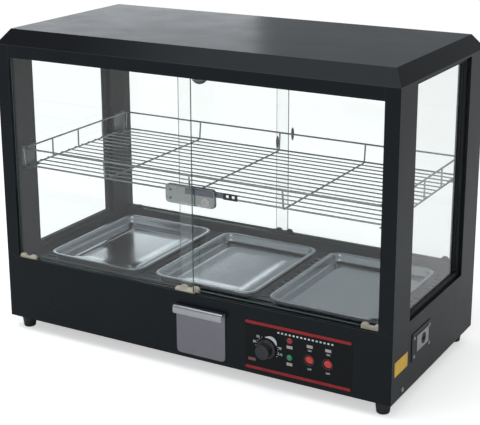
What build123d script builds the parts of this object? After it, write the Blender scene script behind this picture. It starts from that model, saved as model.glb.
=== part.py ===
from build123d import *
import math
import os

os.makedirs("parts", exist_ok=True)

# A countertop heated display case: black sheet-metal body, glass on four sides,
# sliding doors front and back, a wire shelf above three trays, and a low base
# with the water drawer, the heater and the controls. Millimetres, +Z up, front at -Y.

# Driving dimensions of the body
body_width = 900.0
body_depth = 436.0
foot_height = 30.0
base_height = 140.0
window_height = 462.0
bevel_height = 30.0
bevel_side = 21.0
bevel_front = 25.0
sheet = 1.5
post_width = 30.0
post_depth = 78.0
header_height = 26.0
touch_gap = 0.3

# Glass, its seals and the sliding doors
glass = 4.0
pane_inset = 12.0
seal_width = 12.0
seal_sight = 8.0
glass_in_seal = 4.0
track_wall = 1.0
track_rib = 2.0
channel = 11.0
channel_floor = 10.0
rib_drop = 3.0
door_edge_gap = 1.5
door_overlap = 35.0
door_bottom = 0.5
door_top_grip = 7.0
header_roof = 14.0

# Roller carriers under each door
carrier_length = 42.0
carrier_thick = 8.0
carrier_grip = 7.5
carrier_drop = 8.5
carrier_past_glass = 1.0
wheel_radius = 4.5
wheel_width = 3.0
wheel_pin = 1.0
wheel_play = 0.05
wheel_rim = 1.2
wheel_hub = 1.0
wheel_dish = 0.4
running_gap = 0.3
pocket_length = 12.0
pocket_width = 4.2
pocket_roof = 0.4
pin_seat = 0.5
carrier_corner = 5.0
notch_out = 15.0
notch_radius = 3.5

# Finger pulls of the rear doors
pull_height = 30.0
pull_width = 14.0
pull_thick = 5.0
inner_pull_in = 28.0
outer_pull_in = 38.0
inner_pull_z = 382.0
outer_pull_z = 402.0
scoop_radius = 3.2
scoop_out = 1.0

# Heated floor plate with its rows of slots
floor_drop = 22.5
floor_ledge = 10.0
slot_width = 8.0
slot_pitch = 20.0
slots_per_row = 16
vent_length = 60.0
vent_width = 5.0
vent_row_y = 90.0
vent_pitch = 70.0
vents_per_row = 8
mid_slot_length = 40.0
side_slot_length = 28.0
side_slot_in = 20.0

# Trays
tray_width = 240.0
tray_depth = 312.0
tray_height = 19.0
tray_pitch = 271.0
tray_corner = 28.0
tray_sheet = 1.0
tray_rim = 8.0
tray_curl = 3.0
tray_taper = 4.0
tray_step_in = (20.0, 36.0)
tray_step_width = 6.0
tray_step_height = 1.2

# Wire shelf
shelf_z = 369.0
shelf_post_gap = 7.0
shelf_door_gap = 3.1
deck_wires = 16
deck_wire = 1.4
frame_wire = 1.9
cross_wires = 5
cross_wire = 1.8
weld = 0.6
rail_wire = 1.9
rail_height = 38.0
rail_lean = 6.0
rail_corner = 12.0
bracket_length = 44.0
bracket_height = 46.0
bracket_sheet = 1.2
bracket_ledge = 15.0
bracket_inset = 6.0

# Lamp under the ceiling
ceiling_drop = 4.0
lamp_in = 72.0
holder_radius = 15.0
holder_height = 13.0
bulb_radius = 17.5
bulb_neck = 10.0
bulb_drop = 48.0

# Water drawer
drawer_x = 39.0
plate_width = 113.0
plate_bottom = 9.0
plate_height = 106.0
plate_corner = 12.0
lip_out = 14.0
lip_drop = 17.0
pan_width = 90.0
pan_length = 148.0
pan_height = 61.0
pan_sheet = 1.2
pan_play = 0.8
pan_above_base = 20.8
cradle_length = 156.0
drawer_hole_play = 3.0

# Control panel
panel_in = 195.5
panel_width = 231.0
panel_bottom = 10.0
panel_height = 102.0
panel_thick = 0.8
knob_left = 65.5
knob_z = 59.0
knob_radius = 20.0
knob_proud = 22.0
knob_gap = 0.5
knob_grip_radius = 15.5
knob_skirt = 5.0
knob_edge = 1.5
knob_flutes = 12
flute_radius = 2.6
flute_out = 1.6
spindle_radius = 3.0
spindle_play = 0.05
spindle_length = 36.0
thermostat_size = 42.0
thermostat_depth = 30.0
indicator_left = 16.0
red_z = 86.5
green_z = 51.5
indicator_radius = 4.8
indicator_play = 0.2
indicator_proud = 4.0
indicator_back = 12.0
switch_right = (27.0, 66.0)
switch_z = 56.5
bezel_radius = 11.5
bezel_proud = 2.0
switch_bore = 9.2
switch_body_radius = 10.0
switch_body_depth = 22.0
rocker_radius = 8.3
rocker_thick = 6.0
rocker_tilt = 10.0
rocker_pin = 1.0
rocker_pin_reach = 0.8
pin_play = 0.05
panel_hole_play = 0.2

# Supply entry on the right-hand side
entry_in = 141.0
entry_z = 79.0
cover_width = 96.0
cover_height = 58.0
cover_screw_x = 77.0
cover_screw_z = 38.0
insert_width = 59.0
insert_height = 33.0
insert_back = 4.0
grommet_back = 8.0
insert_z = 82.0
insert_thick = 1.0
grommet_radius = 11.0
grommet_groove = 9.0
grommet_hole = 4.5
screw_head_radius = 3.5
screw_head = 1.5
screw_radius = 1.9
screw_length = 8.0
terminal_size = (34.0, 50.0, 36.0)
earth_in = 50.5
earth_z = 14.0
earth_radius = 5.0
earth_head = 2.2
label_in = 43.0
label_z = 67.5
label_size = (62.0, 29.0)
label_thick = 0.3

# Feet, heater and lock
foot_in_x = 27.0
foot_in_y = 28.0
foot_top_radius = 16.5
foot_bottom_radius = 13.0
foot_stem_radius = 5.5
foot_stem_height = 8.0
foot_edge = 3.0
element_radius = 4.0
element_z = 95.0
element_run = 700.0
element_half_gap = 62.0
element_y = 60.0
element_offset_x = -10.0
clamp_width = 12.0
clamp_sheet = 2.0
lock_x = 10.0
lock_z = 368.5
lock_width = 112.0
lock_height = 39.0
lock_thick = 7.5
lock_corner = 8.0
lock_edge = 1.5
lock_bar_length = 48.0
lock_bar_height = 13.0
lock_bar_thick = 2.0
lock_bar_in = 6.0
lock_bar_down = 10.0
lock_slot = 6.0
lock_slot_pitch = 11.0
lock_slots = 3
barrel_radius = 7.0
barrel_play = 0.05
barrel_depth = 5.5
barrel_x = 44.0
barrel_z = 360.0
keyway_width = 1.2
keyway_length = 8.0

# Levels and planes worked out from the driving dimensions
side = body_width / 2
front = -body_depth / 2
back = body_depth / 2
z_base = foot_height
z_sill = z_base + base_height
z_eave = z_sill + window_height
z_top = z_eave + bevel_height
z_header = z_eave - header_height
z_ceiling = z_eave - ceiling_drop
inner_side = side - post_width
inner_post = body_depth / 2 - post_depth
z_floor = z_sill - floor_drop
z_channel = z_sill - channel_floor
outer_lane = front + sheet + track_wall + channel / 2
inner_lane = outer_lane + channel + track_rib
track_back = inner_lane + channel / 2 + sheet
z_glass = z_sill + door_bottom
door_height = z_header + door_top_grip - z_glass
door_width = inner_side - door_edge_gap + door_overlap / 2
door_centre = inner_side - door_edge_gap - door_width / 2
panel_face = front - panel_thick
panel_x = side - panel_in
knob_x = panel_x - knob_left
indicator_x = panel_x - indicator_left
switch_x = tuple(panel_x + right for right in switch_right)
lamp_y = front + lamp_in
entry_y = front + entry_in
insert_y = entry_y + insert_back
grommet_y = entry_y + grommet_back
earth_y = front + earth_in
label_y = front + label_in
shelf_half_width = inner_side - shelf_post_gap
shelf_half_depth = -(inner_lane + glass / 2) - shelf_door_gap - rail_wire - rail_lean
origin_x = -(sheet + screw_head) / 2
origin_y = knob_proud / 2


def slab(x, y, z):
    """A box between three pairs of limits."""
    size = (x[1] - x[0], y[1] - y[0], z[1] - z[0])
    return Pos((x[0] + x[1]) / 2, (y[0] + y[1]) / 2, (z[0] + z[1]) / 2) * Box(*size)


def rod(start, end, radius):
    """A round bar from one point to another."""
    a, b = Vector(*start), Vector(*end)
    return Solid.make_cylinder(radius, (b - a).length, Plane(origin=a, z_dir=b - a))


def ball(at, radius):
    return Pos(*at) * Sphere(radius)


def disc_y(x, z, radius, y0, y1):
    """A cylinder along Y."""
    return rod((x, y0, z), (x, y1, z), radius)


def disc_x(y, z, radius, x0, x1):
    """A cylinder along X."""
    return rod((x0, y, z), (x1, y, z), radius)


def mirror_x(shape):
    return mirror(shape, about=Plane.YZ)


def turned(shape):
    """The same piece at the rear: the front turned half round."""
    return Rot(0, 0, 180) * shape


def fused(shapes):
    return shapes[0].fuse(*shapes[1:])


def save(name, *shapes):
    solids = [s for shape in shapes for s in shape.solids()]
    moved = [Pos(origin_x, origin_y, 0) * s for s in solids]
    export_step(Compound(children=moved) if len(moved) > 1 else moved[0], f"parts/{name}.step")


# Base: folded side and back walls, sills, front panel, bottom and floor plates

def base_casing():
    wall_y = (front + sheet, back - sheet)
    pieces = [slab((-side, side), (back - sheet, back), (z_base, z_sill))]
    for sign in (-1, 1):
        span = lambda a, b: (sign * a, sign * b) if sign > 0 else (-b, -a)
        pieces.append(slab(span(side - sheet, side), wall_y, (z_base, z_sill)))
        pieces.append(slab(span(inner_side, side - sheet), wall_y, (z_sill - sheet, z_sill)))
        z_ledge = z_floor - sheet
        wall_z = (z_ledge - sheet, z_sill - sheet)
        floor_y = (-track_back_y(), track_back_y())
        pieces.append(slab(span(inner_side, inner_side + sheet), floor_y, wall_z))
        ledge_x = span(inner_side - floor_ledge, inner_side)
        pieces.append(slab(ledge_x, floor_y, (z_ledge - sheet, z_ledge)))
    casing = fused(pieces)
    for y in (-cover_screw_x / 2, cover_screw_x / 2):
        for z in (-cover_screw_z / 2, cover_screw_z / 2):
            casing -= disc_x(entry_y + y, z_base + entry_z + z, screw_radius, side - 2 * sheet, side + 1)
    casing -= disc_x(grommet_y, z_base + insert_z, grommet_groove, side - 2 * sheet, side + 1)
    casing -= disc_x(earth_y, z_base + earth_z, screw_radius, side - 2 * sheet, side + 1)
    return casing


def track_back_y():
    return -track_back


def base_front_panel():
    panel = slab((-side, side), (front, front + sheet), (z_base, z_sill))
    cut_y = (front - 1, front + sheet + 1)
    half = pan_width / 2 + drawer_hole_play
    z0 = z_base + pan_above_base - drawer_hole_play
    panel -= slab((drawer_x - half, drawer_x + half), cut_y, (z0, z0 + pan_height + 2 * drawer_hole_play))
    for x, z, radius in panel_holes():
        panel -= disc_y(x, z, radius, *cut_y)
    return panel


def panel_holes():
    holes = [(knob_x, z_base + knob_z, spindle_radius + 1.0)]
    for z in (red_z, green_z):
        holes.append((indicator_x, z_base + z, indicator_radius + indicator_play))
    for x in switch_x:
        holes.append((x, z_base + switch_z, switch_body_radius + panel_hole_play))
    return holes


def bottom_plate():
    plate = slab((-side + sheet, side - sheet), (front + sheet, back - sheet), (z_base, z_base + sheet))
    for x, y in foot_places():
        plate -= rod((x, y, z_base - 1), (x, y, z_base + sheet + 1), foot_stem_radius)
    vent = SlotOverall(vent_length, vent_width)
    for row in (-vent_row_y, vent_row_y):
        for i in range(vents_per_row):
            x = (i - (vents_per_row - 1) / 2) * vent_pitch
            place = Plane.XY.offset(z_base - 1) * Pos(x, row)
            plate -= extrude(place * vent, sheet + 2)
    return plate


def floor_plate():
    reach = track_back_y()
    plate = slab((-inner_side, inner_side), (-reach, reach), (z_floor - sheet, z_floor))
    rows = [(-tray_pitch / 2, mid_slot_length), (tray_pitch / 2, mid_slot_length)]
    side_row = inner_side - side_slot_in
    rows += [(-side_row, side_slot_length), (side_row, side_slot_length)]
    cuts = []
    for x, length in rows:
        for i in range(slots_per_row):
            y = (i - (slots_per_row - 1) / 2) * slot_pitch
            place = Plane.XY.offset(z_floor - sheet - 1) * Pos(x, y)
            cuts.append(extrude(place * SlotOverall(length, slot_width), sheet + 2))
    return plate.cut(*cuts)


def foot_places():
    x, y = side - foot_in_x, body_depth / 2 - foot_in_y
    return [(-x, -y), (x, -y), (-x, y), (x, y)]


def foot(x, y):
    flat = foot_bottom_radius - foot_edge
    with BuildPart() as made:
        with BuildSketch(Plane.XZ):
            with BuildLine():
                Polyline((0, 0), (flat, 0))
                RadiusArc((flat, 0), (foot_bottom_radius, foot_edge), -foot_edge)
                Line((foot_bottom_radius, foot_edge), (foot_top_radius, z_base - touch_gap))
                stem = z_base + foot_stem_height
                Polyline((foot_top_radius, z_base - touch_gap), (foot_top_radius, z_base),
                         (foot_stem_radius, z_base), (foot_stem_radius, stem), (0, stem), (0, 0))
            make_face()
        revolve(axis=Axis.Z)
    return Pos(x, y, 0) * made.part


# Frame: corner posts, headers, door tracks, ceiling and the bevelled cover

def corner_post():
    outer = slab((inner_side, side), (front, front + post_depth), (z_sill, z_eave))
    hollow = slab((inner_side + sheet, side - sheet), (front + sheet, front + post_depth - sheet),
                  (z_sill, z_eave))
    return outer - hollow


def header():
    span = (-inner_side, inner_side)
    roof = z_header + header_roof
    mid = outer_lane + channel / 2
    return fused([
        slab(span, (front, front + sheet), (z_header, z_eave)),
        slab(span, (front + sheet, track_back - sheet), (roof, roof + sheet)),
        slab(span, (mid, mid + track_rib), (z_header, roof)),
        slab(span, (track_back - sheet, track_back), (z_header, z_eave)),
        slab(span, (front + sheet, track_back - sheet), (z_eave - sheet, z_eave)),
    ])


def bottom_track():
    span = (-inner_side, inner_side)
    mid = outer_lane + channel / 2
    z_ledge = z_floor - sheet
    return fused([
        slab(span, (front + sheet, track_back), (z_channel - sheet, z_channel)),
        slab(span, (front + sheet, front + sheet + track_wall), (z_channel, z_sill - touch_gap)),
        slab(span, (mid, mid + track_rib), (z_channel, z_sill - rib_drop)),
        slab(span, (track_back - sheet, track_back), (z_ledge - sheet, z_sill - touch_gap)),
        slab((-inner_side + floor_ledge, inner_side - floor_ledge), (track_back, track_back + floor_ledge),
             (z_ledge - sheet, z_ledge)),
    ])


def ceiling_liner():
    reach = track_back_y()
    pieces = [slab((-inner_side, inner_side), (-reach, reach), (z_ceiling, z_ceiling + sheet))]
    rail_y = (-inner_post, inner_post)
    pieces.append(slab((inner_side, side), rail_y, (z_ceiling, z_eave)))
    pieces.append(slab((-side, -inner_side), rail_y, (z_ceiling, z_eave)))
    hole = rod((0, lamp_y, z_ceiling - 1), (0, lamp_y, z_eave), bulb_neck / 2)
    return fused(pieces) - hole


def top_cover():
    slope_wall = sheet * 1.3
    low = Plane.XY.offset(z_eave)
    outer = loft([low * Rectangle(body_width, body_depth),
                  Plane.XY.offset(z_top) * Rectangle(body_width - 2 * bevel_side,
                                                     body_depth - 2 * bevel_front)])
    inner = loft([low * Rectangle(body_width - 2 * slope_wall, body_depth - 2 * slope_wall),
                  Plane.XY.offset(z_top - sheet) * Rectangle(body_width - 2 * bevel_side - 2 * slope_wall,
                                                             body_depth - 2 * bevel_front - 2 * slope_wall)])
    flange = slab((-side + slope_wall, side - slope_wall), (front + slope_wall, back - slope_wall),
                  (z_eave, z_eave + sheet))
    flange -= slab((-inner_side, inner_side), (front + post_width, back - post_width),
                   (z_eave - 1, z_eave + sheet + 1))
    return (outer - inner) + (flange & outer)


# Side windows

def pane_x():
    return (side - pane_inset - glass, side - pane_inset)


def side_pane():
    grow = seal_sight - glass_in_seal
    y = inner_post - grow
    return slab(pane_x(), (-y, y), (z_sill + grow, z_ceiling - grow))


def side_seal():
    x0, x1 = pane_x()
    pad = (seal_width - glass) / 2
    ring = slab((x0 - pad, x1 + pad), (-inner_post, inner_post), (z_sill, z_ceiling))
    y = inner_post - seal_sight
    ring -= slab((x0 - pad - 1, x1 + pad + 1), (-y, y), (z_sill + seal_sight, z_ceiling - seal_sight))
    return ring - side_pane()


# Sliding doors: a pane, two roller carriers and their wheels. The left door runs
# in the outer lane and the right door in the inner lane, with their edges lapped.

def door_place(right):
    return (door_centre, inner_lane) if right else (-door_centre, outer_lane)


def door_pane(right):
    x, y = door_place(right)
    return slab((x - door_width / 2, x + door_width / 2), (y - glass / 2, y + glass / 2),
                (z_glass, z_glass + door_height))


def carrier_centres(right):
    x = door_place(right)[0]
    reach = door_width / 2 + carrier_past_glass - carrier_length / 2
    return (x - reach, x + reach)


def wheel_z():
    return z_channel + running_gap + wheel_radius


def carriers(right):
    y = door_place(right)[1]
    pane = door_pane(right)
    made = []
    for x in carrier_centres(right):
        half = carrier_length / 2
        body = slab((x - half, x + half), (y - carrier_thick / 2, y + carrier_thick / 2),
                    (z_glass - carrier_drop, z_glass + carrier_grip))
        top_edges = body.edges().filter_by(Axis.Y).group_by(Axis.Z)[-1]
        body = fillet(top_edges, carrier_corner)
        body -= pane
        body -= slab((x - pocket_length / 2, x + pocket_length / 2),
                     (y - pocket_width / 2, y + pocket_width / 2),
                     (z_glass - carrier_drop - 1, z_glass - pocket_roof))
        for end in (-1, 1):
            body -= disc_y(x + end * notch_out, z_glass - carrier_drop, notch_radius,
                           y - carrier_thick, y + carrier_thick)
        pin_reach = pocket_width / 2 + pin_seat
        body += disc_y(x, wheel_z(), wheel_pin, y - pin_reach, y + pin_reach)
        made.append(body)
    return made


def wheel(right, index):
    x = carrier_centres(right)[index]
    y = door_place(right)[1]
    tyre = disc_y(x, wheel_z(), wheel_radius, y - wheel_width / 2, y + wheel_width / 2)
    tyre -= disc_y(x, wheel_z(), wheel_pin + wheel_play, y - wheel_width, y + wheel_width)
    for end in (-1, 1):
        hollow = disc_y(x, wheel_z(), wheel_radius - wheel_rim,
                        y + end * (wheel_width / 2 - wheel_dish), y + end * wheel_width)
        hub = disc_y(x, wheel_z(), wheel_pin + wheel_hub, y - wheel_width, y + wheel_width)
        tyre -= hollow - hub
    return tyre


def finger_pull(right):
    """A shallow lens-shaped pull on the outer face of a door, before the half turn to the rear."""
    x, y = door_place(right)
    inward = inner_pull_in if right else outer_pull_in
    edge = x - door_width / 2 + inward if right else x + door_width / 2 - inward
    z = inner_pull_z if right else outer_pull_z
    face = y - glass / 2
    sphere_radius = (pull_height ** 2 / 4 + pull_thick ** 2) / (2 * pull_thick)
    lens = Pos(edge, face + sphere_radius - pull_thick, z) * Sphere(sphere_radius)
    block = slab((edge - pull_width / 2, edge + pull_width / 2), (face - pull_thick, face),
                 (z - pull_height / 2, z + pull_height / 2))
    scoop = disc_x(face - pull_thick - scoop_out, z, scoop_radius, edge - pull_width, edge + pull_width)
    return (block & lens) - scoop


# Door lock: a flat housing on the right-hand door, a slotted bar and a turning barrel

def lock_face():
    return inner_lane - glass / 2


def lock_housing():
    y1 = lock_face()
    y0 = y1 - lock_thick
    body = slab((lock_x - lock_width / 2, lock_x + lock_width / 2), (y0, y1),
                (lock_z - lock_height / 2, lock_z + lock_height / 2))
    body = fillet(body.edges().filter_by(Axis.Y), lock_corner)
    rim = body.faces().sort_by(Axis.Y)[0].outer_wire().edges()
    body = fillet(rim, lock_edge)
    bar_x = (lock_x + lock_width / 2 - lock_bar_in, lock_x + lock_width / 2 + lock_bar_length)
    bar_z = lock_z + lock_height / 2 - lock_bar_down
    bar = slab(bar_x, (y1 - 1.0 - lock_bar_thick, y1 - 1.0),
               (bar_z - lock_bar_height / 2, bar_z + lock_bar_height / 2))
    half = lock_slot / 2
    for i in range(lock_slots):
        x = bar_x[1] - lock_slot - i * lock_slot_pitch
        bar -= slab((x - half, x + half), (y0 - 1, y1 + 1), (bar_z - half, bar_z + half))
    body += bar
    bore = disc_y(barrel_x, barrel_z, barrel_radius + barrel_play, y0 - 1, y0 + barrel_depth + 0.3)
    return body - bore


def lock_barrel():
    y0 = lock_face() - lock_thick
    plug = disc_y(barrel_x, barrel_z, barrel_radius, y0 + 0.2, y0 + barrel_depth + 0.2)
    return plug - slab((barrel_x - keyway_width / 2, barrel_x + keyway_width / 2), (y0, y0 + 3.5),
                       (barrel_z - keyway_length / 2, barrel_z + keyway_length / 2))


# Trays

def tray_slab(width, depth, corner, z0, z1):
    return extrude(Plane.XY.offset(z0) * RectangleRounded(width, depth, corner), z1 - z0)


def tray_bowl(shrink, z0, z1):
    """A tapered rounded block: the outside of the bowl, or its hollow."""
    top_w = tray_width - 2 * tray_rim - 2 * shrink
    top_d = tray_depth - 2 * tray_rim - 2 * shrink
    corner = tray_corner - tray_rim - shrink
    low = Plane.XY.offset(z0) * RectangleRounded(top_w - 2 * tray_taper, top_d - 2 * tray_taper, corner)
    high = Plane.XY.offset(z1) * RectangleRounded(top_w, top_d, corner)
    return loft([low, high])


def tray(x):
    z0 = z_floor + touch_gap
    z1 = z0 + tray_height
    body = tray_bowl(0, z0, z1) + tray_slab(tray_width, tray_depth, tray_corner, z1 - tray_sheet, z1)
    curl = tray_slab(tray_width, tray_depth, tray_corner, z1 - tray_curl, z1)
    inside = 2 * tray_sheet
    curl -= tray_slab(tray_width - inside, tray_depth - inside, tray_corner - tray_sheet,
                      z1 - tray_curl - 1, z1 - tray_sheet)
    body += curl
    body -= tray_bowl(tray_sheet, z0 + tray_sheet, z1 + 0.001)
    base_w = tray_width - 2 * tray_rim - 2 * tray_taper
    base_d = tray_depth - 2 * tray_rim - 2 * tray_taper
    for inset in tray_step_in:
        w, d = base_w - 2 * inset, base_d - 2 * inset
        zs = (z0 + tray_sheet - 0.1, z0 + tray_sheet + tray_step_height)
        step = tray_slab(w, d, 10, *zs)
        step -= tray_slab(w - 2 * tray_step_width, d - 2 * tray_step_width, 6, zs[0] - 1, zs[1] + 1)
        body += step
    return Pos(x, 0, 0) * body


# Wire shelf: a welded deck and a guard rail on risers, carried by four corner brackets

def shelf_cross_x():
    step = 2 * shelf_half_width / (cross_wires - 1)
    return [-shelf_half_width + i * step for i in range(cross_wires)]


def cross_z():
    return shelf_z - deck_wire - cross_wire + weld


def shelf_deck():
    wires = []
    for i in range(deck_wires):
        y = -shelf_half_depth + i * 2 * shelf_half_depth / (deck_wires - 1)
        radius = frame_wire if i in (0, deck_wires - 1) else deck_wire
        reach = shelf_half_width
        wires.append(rod((-reach, y, shelf_z), (reach, y, shelf_z), radius))
    for x in shelf_cross_x():
        reach = shelf_half_depth
        wires.append(rod((x, -reach, cross_z()), (x, reach, cross_z()), cross_wire))
    return fused(wires)


def shelf_rail():
    z = shelf_z + rail_height
    hx, hy = shelf_half_width, shelf_half_depth + rail_lean
    c = rail_corner
    d = c * (1 - math.sqrt(0.5))
    corner = [(hx - c, -hy), (hx - d, -hy + d), (hx, -hy + c)]
    loop = corner + [(x, -y) for x, y in reversed(corner)]
    loop += [(-x, -y) for x, y in loop]
    pieces = []
    for i, (x, y) in enumerate(loop):
        nx, ny = loop[(i + 1) % len(loop)]
        pieces.append(rod((x, y, z), (nx, ny, z), rail_wire))
        pieces.append(ball((x, y, z), rail_wire))
    foot_z = shelf_z + frame_wire * 0.4
    low = shelf_half_depth + frame_wire + cross_wire
    for x in shelf_cross_x()[1:-1]:
        for s in (-1, 1):
            pieces.append(rod((x, s * low, foot_z), (x, s * hy, z), cross_wire))
    for x in (-hx, hx):
        for y in (-0.55 * hy, 0.0, 0.55 * hy):
            pieces.append(rod((x, y, cross_z() + cross_wire), (x, y, z), cross_wire))
        for s in (-1, 1):
            pieces.append(rod((x, s * low, foot_z), (x, s * (hy - c), z), cross_wire))
    return fused(pieces)


def shelf_bracket():
    """One corner bracket on the inner face of the front left post."""
    ledge_z = cross_z() - cross_wire - touch_gap
    y0 = front + post_depth - bracket_inset - bracket_length
    y = (y0, y0 + bracket_length)
    plate = slab((-inner_side, -inner_side + bracket_sheet), y,
                 (ledge_z - bracket_sheet, ledge_z + bracket_height))
    ledge = slab((-inner_side, -inner_side + bracket_ledge), y, (ledge_z - bracket_sheet, ledge_z))
    return plate + ledge


# Lamp

def lamp_holder():
    base = rod((0, lamp_y, z_ceiling - holder_height), (0, lamp_y, z_ceiling), holder_radius)
    step = rod((0, lamp_y, z_ceiling - 4), (0, lamp_y, z_ceiling), holder_radius + 4)
    socket = rod((0, lamp_y, z_ceiling - holder_height - 1), (0, lamp_y, z_ceiling - 5), bulb_neck)
    return base + step - socket


def lamp_bulb():
    centre = z_ceiling - bulb_drop + bulb_radius
    neck = rod((0, lamp_y, centre), (0, lamp_y, z_ceiling - 5 - touch_gap), bulb_neck - touch_gap)
    return ball((0, lamp_y, centre), bulb_radius) + neck


# Water drawer: a front plate with a folded pull, a pan and the cradle it slides in

def drawer_front():
    y0 = front - touch_gap - sheet
    z0 = z_base + plate_bottom
    z1 = z0 + plate_height
    x = (drawer_x - plate_width / 2, drawer_x + plate_width / 2)
    plate = slab(x, (y0, y0 + sheet), (z0, z1))
    low = plate.edges().filter_by(Axis.Y).group_by(Axis.Z)[0]
    plate = fillet(low, plate_corner)
    top = slab(x, (y0 - lip_out, y0 + sheet), (z1 - sheet, z1))
    drop = slab(x, (y0 - lip_out, y0 - lip_out + sheet), (z1 - lip_drop, z1))
    made = fused([plate, top, drop])
    bends = made.edges().filter_by(Axis.X).filter_by(lambda e: e.center().Z > z1 - 0.01)
    made = fillet(bends, 1.2)
    return made


def pan_x():
    return (drawer_x - pan_width / 2, drawer_x + pan_width / 2)


def water_pan():
    y = (front - touch_gap, front - touch_gap + pan_length)
    z = (z_base + pan_above_base, z_base + pan_above_base + pan_height)
    x = pan_x()
    t = pan_sheet
    return slab(x, y, z) - slab((x[0] + t, x[1] - t), (y[0] + t, y[1] - t), (z[0] + t, z[1] + 1))


def drawer_cradle():
    x0, x1 = pan_x()
    t = pan_sheet
    x = (x0 - pan_play - t, x1 + pan_play + t)
    y = (front + sheet, front + sheet + cradle_length)
    z0 = z_base + pan_above_base - touch_gap - t
    wall_top = z_base + pan_above_base + pan_height - 8
    pieces = [slab(x, y, (z0, z0 + t)), slab((x[0], x[0] + t), y, (z0, wall_top)),
              slab((x[1] - t, x[1]), y, (z0, wall_top)),
              slab(x, (y[1] - t, y[1]), (z0, wall_top))]
    for leg in (y[0] + 14, y[1] - 20):
        pieces.append(slab(x, (leg, leg + t), (z_base + sheet, z0)))
    return fused(pieces)


# Controls

def control_panel():
    x = (panel_x - panel_width / 2, panel_x + panel_width / 2)
    plate = slab(x, (panel_face, front), (z_base + panel_bottom, z_base + panel_bottom + panel_height))
    for hx, hz, radius in panel_holes():
        plate -= disc_y(hx, hz, radius, panel_face - 1, front + 1)
    return plate


def indicator(z):
    z += z_base
    stem = disc_y(indicator_x, z, indicator_radius, panel_face - 1.5, front + indicator_back)
    centre_y = panel_face - 1.5
    reach = indicator_proud - 1.5
    dome_radius = (indicator_radius ** 2 + reach ** 2) / (2 * reach)
    dome = ball((indicator_x, centre_y + dome_radius - reach, z), dome_radius)
    dome &= disc_y(indicator_x, z, indicator_radius, centre_y - indicator_proud, centre_y)
    flange = disc_y(indicator_x, z, indicator_radius + 1.2, panel_face - 0.8, panel_face)
    return stem + dome + flange


def rocker_pivot_y():
    return panel_face + 1.2


def switch_housing(x):
    z = z_base + switch_z
    body = disc_y(x, z, switch_body_radius, panel_face, panel_face + switch_body_depth)
    bezel = disc_y(x, z, bezel_radius, panel_face - bezel_proud, panel_face)
    made = body + bezel
    made -= disc_y(x, z, switch_bore, panel_face - bezel_proud - 1, rocker_pivot_y() + 6.5)
    pins = disc_x(rocker_pivot_y(), z, rocker_pin + pin_play, x - switch_bore - rocker_pin_reach,
                  x + switch_bore + rocker_pin_reach)
    made -= pins
    for side_z in (-4, 4):
        y0 = panel_face + switch_body_depth
        made += slab((x - 2.4, x + 2.4), (y0 - 0.2, y0 + 8), (z + side_z - 0.4, z + side_z + 0.4))
    return made


def rocker(x):
    z = z_base + switch_z
    y = rocker_pivot_y()
    cap = disc_y(0, 0, rocker_radius, -rocker_thick / 2, rocker_thick / 2)
    cap = fillet(cap.edges().group_by(Axis.Y)[0], 1.2)
    pin_end = switch_bore + rocker_pin_reach - touch_gap
    pin = disc_x(0, 0, rocker_pin, -pin_end, pin_end)
    made = cap + pin
    return Pos(x, y, z) * Rot(rocker_tilt, 0, 0) * made


def thermostat_body():
    z = z_base + knob_z
    half = thermostat_size / 2
    y0 = front + sheet
    body = slab((knob_x - half, knob_x + half), (y0, y0 + thermostat_depth), (z - half, z + half))
    body -= disc_y(knob_x, z, spindle_radius + spindle_play, y0 - 1, y0 + 16)
    for i in range(3):
        tab_z = z - 12 + 12 * i
        body += slab((knob_x - 3, knob_x + 3), (y0 + thermostat_depth - 0.2, y0 + thermostat_depth + 9),
                     (tab_z - 0.5, tab_z + 0.5))
    return body


def spindle():
    y1 = front + sheet + 15.5
    return disc_y(knob_x, z_base + knob_z, spindle_radius, y1 - spindle_length, y1)


def knob():
    z = z_base + knob_z
    y1 = panel_face - knob_gap
    y0 = front - knob_proud
    skirt_y = y1 - knob_skirt
    skirt = Pos(knob_x, (skirt_y + y1) / 2, z) * Rot(90, 0, 0) * Cylinder(knob_radius, y1 - skirt_y)
    skirt = fillet(skirt.edges().group_by(Axis.Y)[0], knob_edge)
    grip = disc_y(knob_x, z, knob_grip_radius, y0, skirt_y + 0.5)
    grip = fillet(grip.edges().group_by(Axis.Y)[0], knob_edge)
    ring = knob_grip_radius + flute_out
    for i in range(knob_flutes):
        a = 2 * math.pi * i / knob_flutes
        grip -= disc_y(knob_x + ring * math.sin(a), z + ring * math.cos(a), flute_radius, y0 - 1, skirt_y + 1)
    return skirt + grip - spindle()


# Supply entry, earth bolt and label on the right-hand side

def entry_cover():
    y = (entry_y - cover_width / 2, entry_y + cover_width / 2)
    zc = z_base + entry_z
    plate = slab((side, side + sheet), y, (zc - cover_height / 2, zc + cover_height / 2))
    plate = fillet(plate.edges().filter_by(Axis.X), 4.0)
    plate -= disc_x(grommet_y, z_base + insert_z, grommet_groove, side - 1, side + sheet + 1)
    for y_off in (-cover_screw_x / 2, cover_screw_x / 2):
        for z_off in (-cover_screw_z / 2, cover_screw_z / 2):
            plate -= disc_x(entry_y + y_off, zc + z_off, screw_radius, side - 1, side + sheet + 1)
    return plate


def entry_insert():
    x = (side + sheet, side + sheet + insert_thick)
    zc = z_base + insert_z
    plate = slab(x, (insert_y - insert_width / 2, insert_y + insert_width / 2),
                 (zc - insert_height / 2, zc + insert_height / 2))
    return plate - disc_x(grommet_y, zc, grommet_groove, x[0] - 1, x[1] + 1)


def grommet():
    z = z_base + insert_z
    x0, x1 = side - sheet, side + sheet + insert_thick
    lip = 0.4
    ring = disc_x(grommet_y, z, grommet_groove, x0 - 3, x1 + lip)
    ring += disc_x(grommet_y, z, grommet_radius, x1, x1 + lip)
    ring += disc_x(grommet_y, z, grommet_radius, x0 - 3, x0)
    return ring - disc_x(grommet_y, z, grommet_hole, x0 - 4, x1 + 4)


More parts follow.
